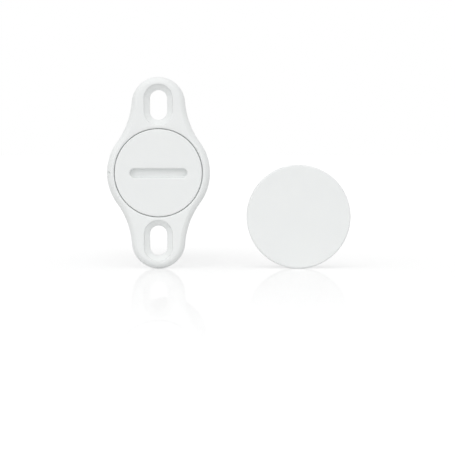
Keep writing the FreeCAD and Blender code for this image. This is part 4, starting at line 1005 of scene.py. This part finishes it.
def contact_spring(material):
    """The conical spring behind the cell, with its end turns laid flat."""
    surface = Surface()
    rise = SPRING_BACK - SPRING_FRONT - 2 * SPRING_WIRE
    path = []
    for index in range(int(SPRING_TURNS * COIL_STEPS) + 1):
        share = index / (SPRING_TURNS * COIL_STEPS)
        turn = FULL_TURN * SPRING_TURNS * share
        radius = SPRING_SMALL + (SPRING_LARGE - SPRING_SMALL) * share
        eased = share - SPRING_FLATNESS * math.sin(FULL_TURN * share) / FULL_TURN
        path.append(Vector((radius * math.cos(turn), SPRING_FRONT + SPRING_WIRE + rise * eased,
                            CELL_HEIGHT + radius * math.sin(turn))))
    tube(surface, path, SPRING_WIRE)
    spring = make_piece(surface, "contact_spring", material)
    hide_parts("negative_spring")
    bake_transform(spring)
    return spring


# Sensor half: the board and what it carries

AERIAL_WIRE = 0.3
AERIAL_TURNS = 7.5
AERIAL_PITCH = 1.15


def aerial_coil(material):
    """The wound aerial with the lead that goes to the board. Gives back the lead's end."""
    surface = Surface()
    radius = AERIAL_SIDE - AERIAL_WIRE
    axis_height = AERIAL_FOOT + AERIAL_WIRE + radius
    start = AERIAL_FRONT + AERIAL_WIRE
    count = int(AERIAL_TURNS * COIL_STEPS)
    path = []
    for index in range(count + 1):
        share = index / count
        turn = FULL_TURN * AERIAL_TURNS * (share - 1)
        path.append(Vector((radius * math.cos(turn), start + AERIAL_PITCH * AERIAL_TURNS * share,
                            axis_height + radius * math.sin(turn))))
    lean = AERIAL_PITCH / (FULL_TURN * radius)
    last = path[-1]
    top = AERIAL_TIP - AERIAL_WIRE * lean
    for up in steps_between(last.z, top, LEAD_STEPS)[1:]:
        path.append(Vector((last.x, last.y + (up - last.z) * lean, up)))
    tube(surface, path, AERIAL_WIRE)
    lead = path[-1]
    fit_piece(surface, "aerial_coil", material, "sensor", "aerial_wire", "helical_aerial")
    return lead


# Solder and legs start this far above the board, so that no two faces share a place
BOARD_GAP = 0.002
SOLDER_FOOT = BOARD_TOP + BOARD_GAP
REED_SOLDER_INSET = 0.2

# Places on a fillet's hollow side: the share of its height, and of its spread from neck to foot
SOLDER_HOLLOW = ((0.25, 0.72), (0.6, 0.32))


def solder_fillet(surface, across, along, height, radius, neck):
    """A hollow-sided cone of solder round a lead."""
    top = SOLDER_FOOT + height
    line = [Vector((SOLDER_FOOT, 0)), Vector((SOLDER_FOOT, radius))]
    line += [Vector((SOLDER_FOOT + height * up, radius * spread + neck * (1 - spread)))
             for up, spread in SOLDER_HOLLOW]
    line += [Vector((top, neck)), Vector((top, 0))]
    turned(surface, line, even_turns(SOLDER_COLUMNS), centre=(across, along), place=along_z)


def board_solder(lead, material):
    """Solder at the leads that come through or stand on the board."""
    surface = Surface()
    solder_fillet(surface, lead.x, lead.y, height=0.34, radius=0.75, neck=0.32)
    front, back = extent("reed_blades", "y")
    for along in (front + REED_SOLDER_INSET, back - REED_SOLDER_INSET):
        solder_fillet(surface, 0, along, height=0.4, radius=0.55, neck=0.22)
    return fit_piece(surface, "board_solder", material, "sensor", "shield_metal")


# Tinned ends wrap round the chips and the light with a skin, and cover a length of each end
TIN_SKIN = 0.02
CHIPS_IN_ROW = 4
CHIP_LENGTH = 1.0
CHIP_WIDTH = 0.5
CHIP_END = 0.25
CHIP_BEVEL = 0.05


def chip_ends(material):
    """Tinned ends of the chip capacitors."""
    surface = Surface()
    front, back = extent("chip_capacitors", "y")
    starts = steps_between(front, back - CHIP_LENGTH, CHIPS_IN_ROW - 1)
    across = high("chip_capacitors", "x") - CHIP_WIDTH / 2
    reach = CHIP_WIDTH / 2 + TIN_SKIN
    top = high("chip_capacitors", "z") + TIN_SKIN
    for side in (-across, across):
        for start in starts:
            stop = start + CHIP_LENGTH
            for near, far in ((start - TIN_SKIN, start + CHIP_END),
                              (stop - CHIP_END, stop + TIN_SKIN)):
                box_shape(surface, (side - reach, near, SOLDER_FOOT), (side + reach, far, top),
                          CHIP_BEVEL)
    return fit_piece(surface, "chip_ends", material, "sensor", "shield_metal")


# The reset switch's legs: how far in from its ends, how far into and out of its case, and how big
LEG_INSET = 0.5
LEG_IN = 0.04
LEG_OUT = 0.24
LEG_WIDTH = 0.4
LEG_HEIGHT = 0.3
LEG_BEVEL = 0.04


def switch_legs(material):
    """Four tinned legs that hold the reset switch on the board."""
    surface = Surface()
    side = high("reset_switch_body", "x")
    front, back = extent("reset_switch_body", "y")
    for left in (-side - LEG_OUT, side - LEG_IN):
        for middle in (front + LEG_INSET, back - LEG_INSET):
            box_shape(surface, (left, middle - LEG_WIDTH / 2, SOLDER_FOOT),
                      (left + LEG_IN + LEG_OUT, middle + LEG_WIDTH / 2, BOARD_TOP + LEG_HEIGHT),
                      LEG_BEVEL)
    return fit_piece(surface, "switch_legs", material, "sensor", "shield_metal")


LIGHT_END = 0.2
LIGHT_END_HEIGHT = 0.22
LIGHT_BEVEL = 0.04


def light_ends(material):
    """Soldered ends of the status light."""
    surface = Surface()
    front, back = extent("status_light", "y")
    left, right = extent("status_light", "x")
    for near, far in ((left - TIN_SKIN, left + LIGHT_END), (right - LIGHT_END, right + TIN_SKIN)):
        box_shape(surface, (near, front - TIN_SKIN, SOLDER_FOOT),
                  (far, back + TIN_SKIN, BOARD_TOP + LIGHT_END_HEIGHT), LIGHT_BEVEL)
    return fit_piece(surface, "light_ends", material, "sensor", "shield_metal")


# Sensor half: the plug that closes the barrel

PLUG_SPIGOT = 0.8
PLUG_EDGE = 0.15
PLUG_BEVEL = 0.4
PLUG_RECESS_RADIUS = 6.5
PLUG_RECESS_DEPTH = 0.8
PLUG_RECESS_DRAFT = 0.1
PLUG_RECESS_CORNER = 0.25

# The mark that the mould's gate leaves on each plug: its foot, its tip, and how far it stands
# out of the long barrel's plug or is sunk in the magnet's
GATE_FOOT = 0.9
GATE_TIP = 0.75
GATE_RISE = 0.08
GATE_SINK = 0.1


def rear_cover(material):
    """The plug that closes the long barrel."""
    shoulder = CARRIER_BACK + PLUG_SPIGOT
    floor = BARREL_BACK - PLUG_RECESS_DEPTH
    return turned_piece(
        ((CARRIER_BACK, 0, 0), (CARRIER_BACK, CARRIER_RADIUS, PLUG_EDGE),
         (shoulder, CARRIER_RADIUS, 0), (shoulder, PLUG_RADIUS, 0),
         (BARREL_BACK - PLUG_BEVEL, PLUG_RADIUS, FINE_EDGE),
         (BARREL_BACK, PLUG_RADIUS - PLUG_BEVEL, FINE_EDGE),
         (BARREL_BACK, PLUG_RECESS_RADIUS, PLUG_EDGE),
         (floor, PLUG_RECESS_RADIUS - PLUG_RECESS_DRAFT, PLUG_RECESS_CORNER),
         (floor, GATE_FOOT, 0), (floor + GATE_RISE, GATE_TIP, 0), (floor + GATE_RISE, 0, 0)),
        LARGE_COLUMNS, (0, 0), "rear_cover", material, "sensor", "shell_plastic", "rear_plug")


# Magnet half

MAGNET_CENTRE = (MAGNET_ACROSS, MAGNET_HEIGHT)
DISC_EDGE = 0.35
NEST_DEPTH = 3.6
NEST_GAP = 0.1
NEST_EDGE = 0.15
SHOULDER_EDGE = 0.2
MAGNET_EDGE = 0.3
STUB_PLUG_THICKNESS = 1.8
BOSS_RADIUS = 5.0
BOSS_EDGE = 0.2


def stub_wall(along, radius, turn):
    """The short barrel's wall, with its crush ribs."""
    return ribbed_wall(along, radius, turn, STUB_RIB_LENGTH)


def magnet_shell(material):
    """The disc and the short barrel, moulded in one with the magnet's nest."""
    surface = Surface()
    nest = MAGNET_RADIUS + NEST_GAP
    shoulder = MAGNET_FRONT + NEST_DEPTH
    line = rounded(((MAGNET_FRONT, 0, 0), (MAGNET_FRONT, nest, NEST_EDGE), (shoulder, nest, EDGE),
                    (shoulder, BORE_RADIUS, SHOULDER_EDGE), (STUB_BACK - EDGE, BORE_RADIUS, 0),
                    (STUB_BACK, BORE_RADIUS + EDGE, 0),
                    (STUB_BACK, BARREL_RADIUS - LEAD_IN_STEP, EDGE),
                    (STUB_BACK - LEAD_IN_LENGTH, BARREL_RADIUS, 0)))
    line += [Vector((along, BARREL_RADIUS)) for along in reversed(rib_rows(STUB_RIB_LENGTH))]
    root = [(along, BARREL_RADIUS + out, 0) for along, out in ROOT_FILLET]
    line += rounded((*root, (0, DISC_RADIUS, EDGE), (DISC_FRONT, DISC_RADIUS, DISC_EDGE),
                     (DISC_FRONT, 0, 0)))
    turned(surface, line, RIB_TURNS, centre=MAGNET_CENTRE, relief=stub_wall)
    return fit_piece(surface, "magnet_shell", material, "magnet_half", "shell_plastic",
                     "magnet_cup")


def magnet_disc(material):
    """The magnet behind the disc's face."""
    return turned_piece(
        ((MAGNET_FRONT, 0, 0), (MAGNET_FRONT, MAGNET_RADIUS, MAGNET_EDGE),
         (MAGNET_BACK, MAGNET_RADIUS, MAGNET_EDGE), (MAGNET_BACK, 0, 0)),
        MAGNET_COLUMNS, MAGNET_CENTRE, "magnet_disc", material, "magnet_half",
        "magnet_plating", "magnet")


def magnet_cover(material):
    """The plug that closes the short barrel, with the boss that holds the magnet."""
    front = STUB_BACK - STUB_PLUG_THICKNESS
    radius = high("magnet_plug", "x") - MAGNET_ACROSS
    return turned_piece(
        ((MAGNET_BACK, 0, 0), (MAGNET_BACK, BOSS_RADIUS, BOSS_EDGE),
         (front, BOSS_RADIUS, BOSS_EDGE), (front, radius, EDGE),
         (STUB_BACK - PLUG_BEVEL, radius, FINE_EDGE), (STUB_BACK, radius - PLUG_BEVEL, FINE_EDGE),
         (STUB_BACK, GATE_FOOT, 0), (STUB_BACK - GATE_SINK, GATE_TIP, 0),
         (STUB_BACK - GATE_SINK, 0, 0)),
        LARGE_COLUMNS, MAGNET_CENTRE, "magnet_cover", material, "magnet_half",
        "shell_plastic", "magnet_plug")


# Putting the pieces together

def dress(node, material):
    """Gives a CAD node that is shown its material."""
    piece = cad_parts[node]
    piece.data.materials.clear()
    piece.data.materials.append(material)


def build_object():
    """Makes every piece, and gives each CAD node that is shown its material."""
    shell = shell_plastic()
    steel = cell_steel()
    tin = tinned_metal()
    nickel = nickel_sheet()
    flange_shell(shell)
    cap_shell(shell)
    seal_ring(seal_rubber())
    cell_can(steel)
    cell_button(steel)
    cell_ring(cell_insulator())
    cell_sleeve(cell_film())
    contact_spring(spring_wire())
    lead = aerial_coil(copper_wire())
    board_solder(lead, tin)
    chip_ends(tin)
    switch_legs(tin)
    light_ends(tin)
    rear_cover(shell)
    magnet_shell(shell)
    magnet_disc(magnet_plating())
    magnet_cover(shell)
    for node, material in (
            ("cap_contact", nickel), ("rear_contact_plate", nickel), ("front_leaf", nickel),
            ("inner_carrier", carrier_plastic()), ("circuit_board", board_laminate()),
            ("reset_switch_body", switch_case()), ("reset_plunger", switch_key()),
            ("status_light", light_lens()), ("reed_glass", reed_glass()),
            ("reed_blades", reed_metal()), ("chip_capacitors", chip_ceramic()),
            ("radio_shield", shield_metal()), ("microcontroller", chip_resin()),
            ("crystal", crystal_can()), ("reservoir_capacitor", capacitor_can())):
        dress(node, material)


# Floor, light and camera

# The floor's side in metres, so wide that its edge never shows
FLOOR_SIDE = 400.0

# The floor's colour as the object sees it and as the camera does, and the white it is lifted to
FLOOR_COLOUR = 0.75
FLOOR_SEEN_COLOUR = 0.46
FLOOR_WHITE = 1.065

# How much the floor reflects at the part, how far out that has faded to nothing, how sharp the
# reflection is, and how fast it weakens as the floor is seen from higher up
FLOOR_MIRROR = 0.42
MIRROR_REACH = 280.0
MIRROR_CENTRE = (16.0, 0.0, FLOOR)
MIRROR_ROUGHNESS = 0.012
MIRROR_BLEND = 0.5
MIRROR_FALL = 3.0

AMBIENT = 0.545
KEY_LIGHT = 0.39
KEY_DIRECTION = Vector((-0.06, -1.0, 0.2)).normalized()
KEY_SPREAD = math.radians(90)
TOP_LIGHT = 0.25
TOP_DIRECTION = Vector((-0.2, -0.35, 0.91)).normalized()
TOP_SPREAD = math.radians(90)


def seen_directly(tree):
    """A mask of one for what the camera sees, straight, in a reflection or through glass."""
    path = tree.nodes.new("ShaderNodeLightPath")
    total = maths(tree, "ADD", path.outputs["Is Camera Ray"], path.outputs["Is Glossy Ray"])
    total = maths(tree, "ADD", total, path.outputs["Is Transmission Ray"])
    return maths(tree, "MINIMUM", total, 1.0)


def mirror_share(tree):
    """How much of the floor is mirror: less away from the part, and less seen from above."""
    away = add_node(tree, "ShaderNodeVectorMath",
                    {0: own_place(tree), 1: [part * MM for part in MIRROR_CENTRE]},
                    operation="DISTANCE").outputs["Value"]
    fade = add_node(tree, "ShaderNodeMapRange", {"Value": away, "From Max": MIRROR_REACH * MM,
                                                 "To Min": FLOOR_MIRROR, "To Max": 0.0})
    view = add_node(tree, "ShaderNodeLayerWeight", {"Blend": MIRROR_BLEND})
    slant = maths(tree, "POWER", view.outputs["Facing"], MIRROR_FALL)
    return maths(tree, "MULTIPLY", fade.outputs[0], slant)


def floor_material():
    """A white floor that keeps shadows and reflects a little."""
    material = bpy.data.materials.new("floor_white")
    material.use_nodes = True
    tree = material.node_tree
    tree.nodes.clear()
    seen = seen_directly(tree)
    shade = between(tree, seen, FLOOR_COLOUR, FLOOR_SEEN_COLOUR)
    lit = AMBIENT + KEY_LIGHT * KEY_DIRECTION.z + TOP_LIGHT * TOP_DIRECTION.z
    lift = maths(tree, "MULTIPLY", seen, FLOOR_WHITE - FLOOR_SEEN_COLOUR * lit)
    matt = add_node(tree, "ShaderNodeBsdfDiffuse", {"Color": shade})
    glow = add_node(tree, "ShaderNodeEmission", {"Strength": lift})
    lifted = add_node(tree, "ShaderNodeAddShader", {0: matt.outputs[0], 1: glow.outputs[0]})
    mirror = add_node(tree, "ShaderNodeBsdfGlossy", {"Roughness": MIRROR_ROUGHNESS})
    blend = add_node(tree, "ShaderNodeMixShader",
                     {0: mirror_share(tree), 1: lifted.outputs[0], 2: mirror.outputs[0]})
    add_node(tree, "ShaderNodeOutputMaterial", {"Surface": blend.outputs[0]})
    return material


def make_floor():
    """The floor that the part stands on."""
    half = FLOOR_SIDE / 2
    mesh = bpy.data.meshes.new("floor")
    mesh.from_pydata([(-half, -half, FLOOR * MM), (half, -half, FLOOR * MM),
                      (half, half, FLOOR * MM), (-half, half, FLOOR * MM)], [], [(0, 1, 2, 3)])
    mesh.materials.append(floor_material())
    floor = add_object("floor", mesh)


def make_world():
    """A white surrounding that the camera sees at full strength and that lights softly."""
    world = bpy.data.worlds.new("studio")
    world.use_nodes = True
    tree = world.node_tree
    strength = between(tree, seen_directly(tree), AMBIENT, 1.0)
    set_inputs(tree, tree.nodes["Background"], {"Color": (1, 1, 1, 1), "Strength": strength})
    bpy.context.scene.world = world


def make_light(name, strength, direction, spread):
    """A wide, soft light from a direction. A strength of 1 shows a facing colour as written."""
    data = bpy.data.lights.new(name, "SUN")
    data.energy = strength * math.pi
    data.angle = spread
    lamp = add_object(name, data)
    lamp.location = direction
    lamp.rotation_euler = (-direction).to_track_quat("-Z", "Y").to_euler()


# The photograph's frame: its width in pixels, and where the sensor's axis and scale lie in it
PHOTO_SIZE = 455
PHOTO_AXIS = (158.35, 172.9)
PHOTO_SCALE = 4.333
CAMERA_DISTANCE = 400.0
CAMERA_LIFT = 4.0
SENSOR_WIDTH = 36.0


def make_camera():
    """The camera, so that the sensor's front face fills the same pixels as in the photograph."""
    half = PHOTO_SIZE / 2
    across = (half - PHOTO_AXIS[0]) / PHOTO_SCALE
    drop = (half - PHOTO_AXIS[1]) / PHOTO_SCALE
    target = Vector((across, FRONT, -drop)) * MM
    place = Vector((across, FRONT - CAMERA_DISTANCE, CAMERA_LIFT)) * MM
    data = bpy.data.cameras.new("camera")
    data.sensor_width = SENSOR_WIDTH
    field = PHOTO_SIZE / PHOTO_SCALE * MM
    data.lens = SENSOR_WIDTH * (target - place).length / field
    camera = add_object("camera", data)
    camera.location = place
    camera.rotation_euler = (target - place).to_track_quat("-Z", "Y").to_euler()
    bpy.context.scene.camera = camera


def build_studio():
    """Makes the floor, the surrounding, the lights and the camera."""
    make_floor()
    make_world()
    make_light("key_light", KEY_LIGHT, KEY_DIRECTION, KEY_SPREAD)
    make_light("top_light", TOP_LIGHT, TOP_DIRECTION, TOP_SPREAD)
    make_camera()
    bpy.context.scene.view_settings.view_transform = "Standard"


build_object()
build_studio()
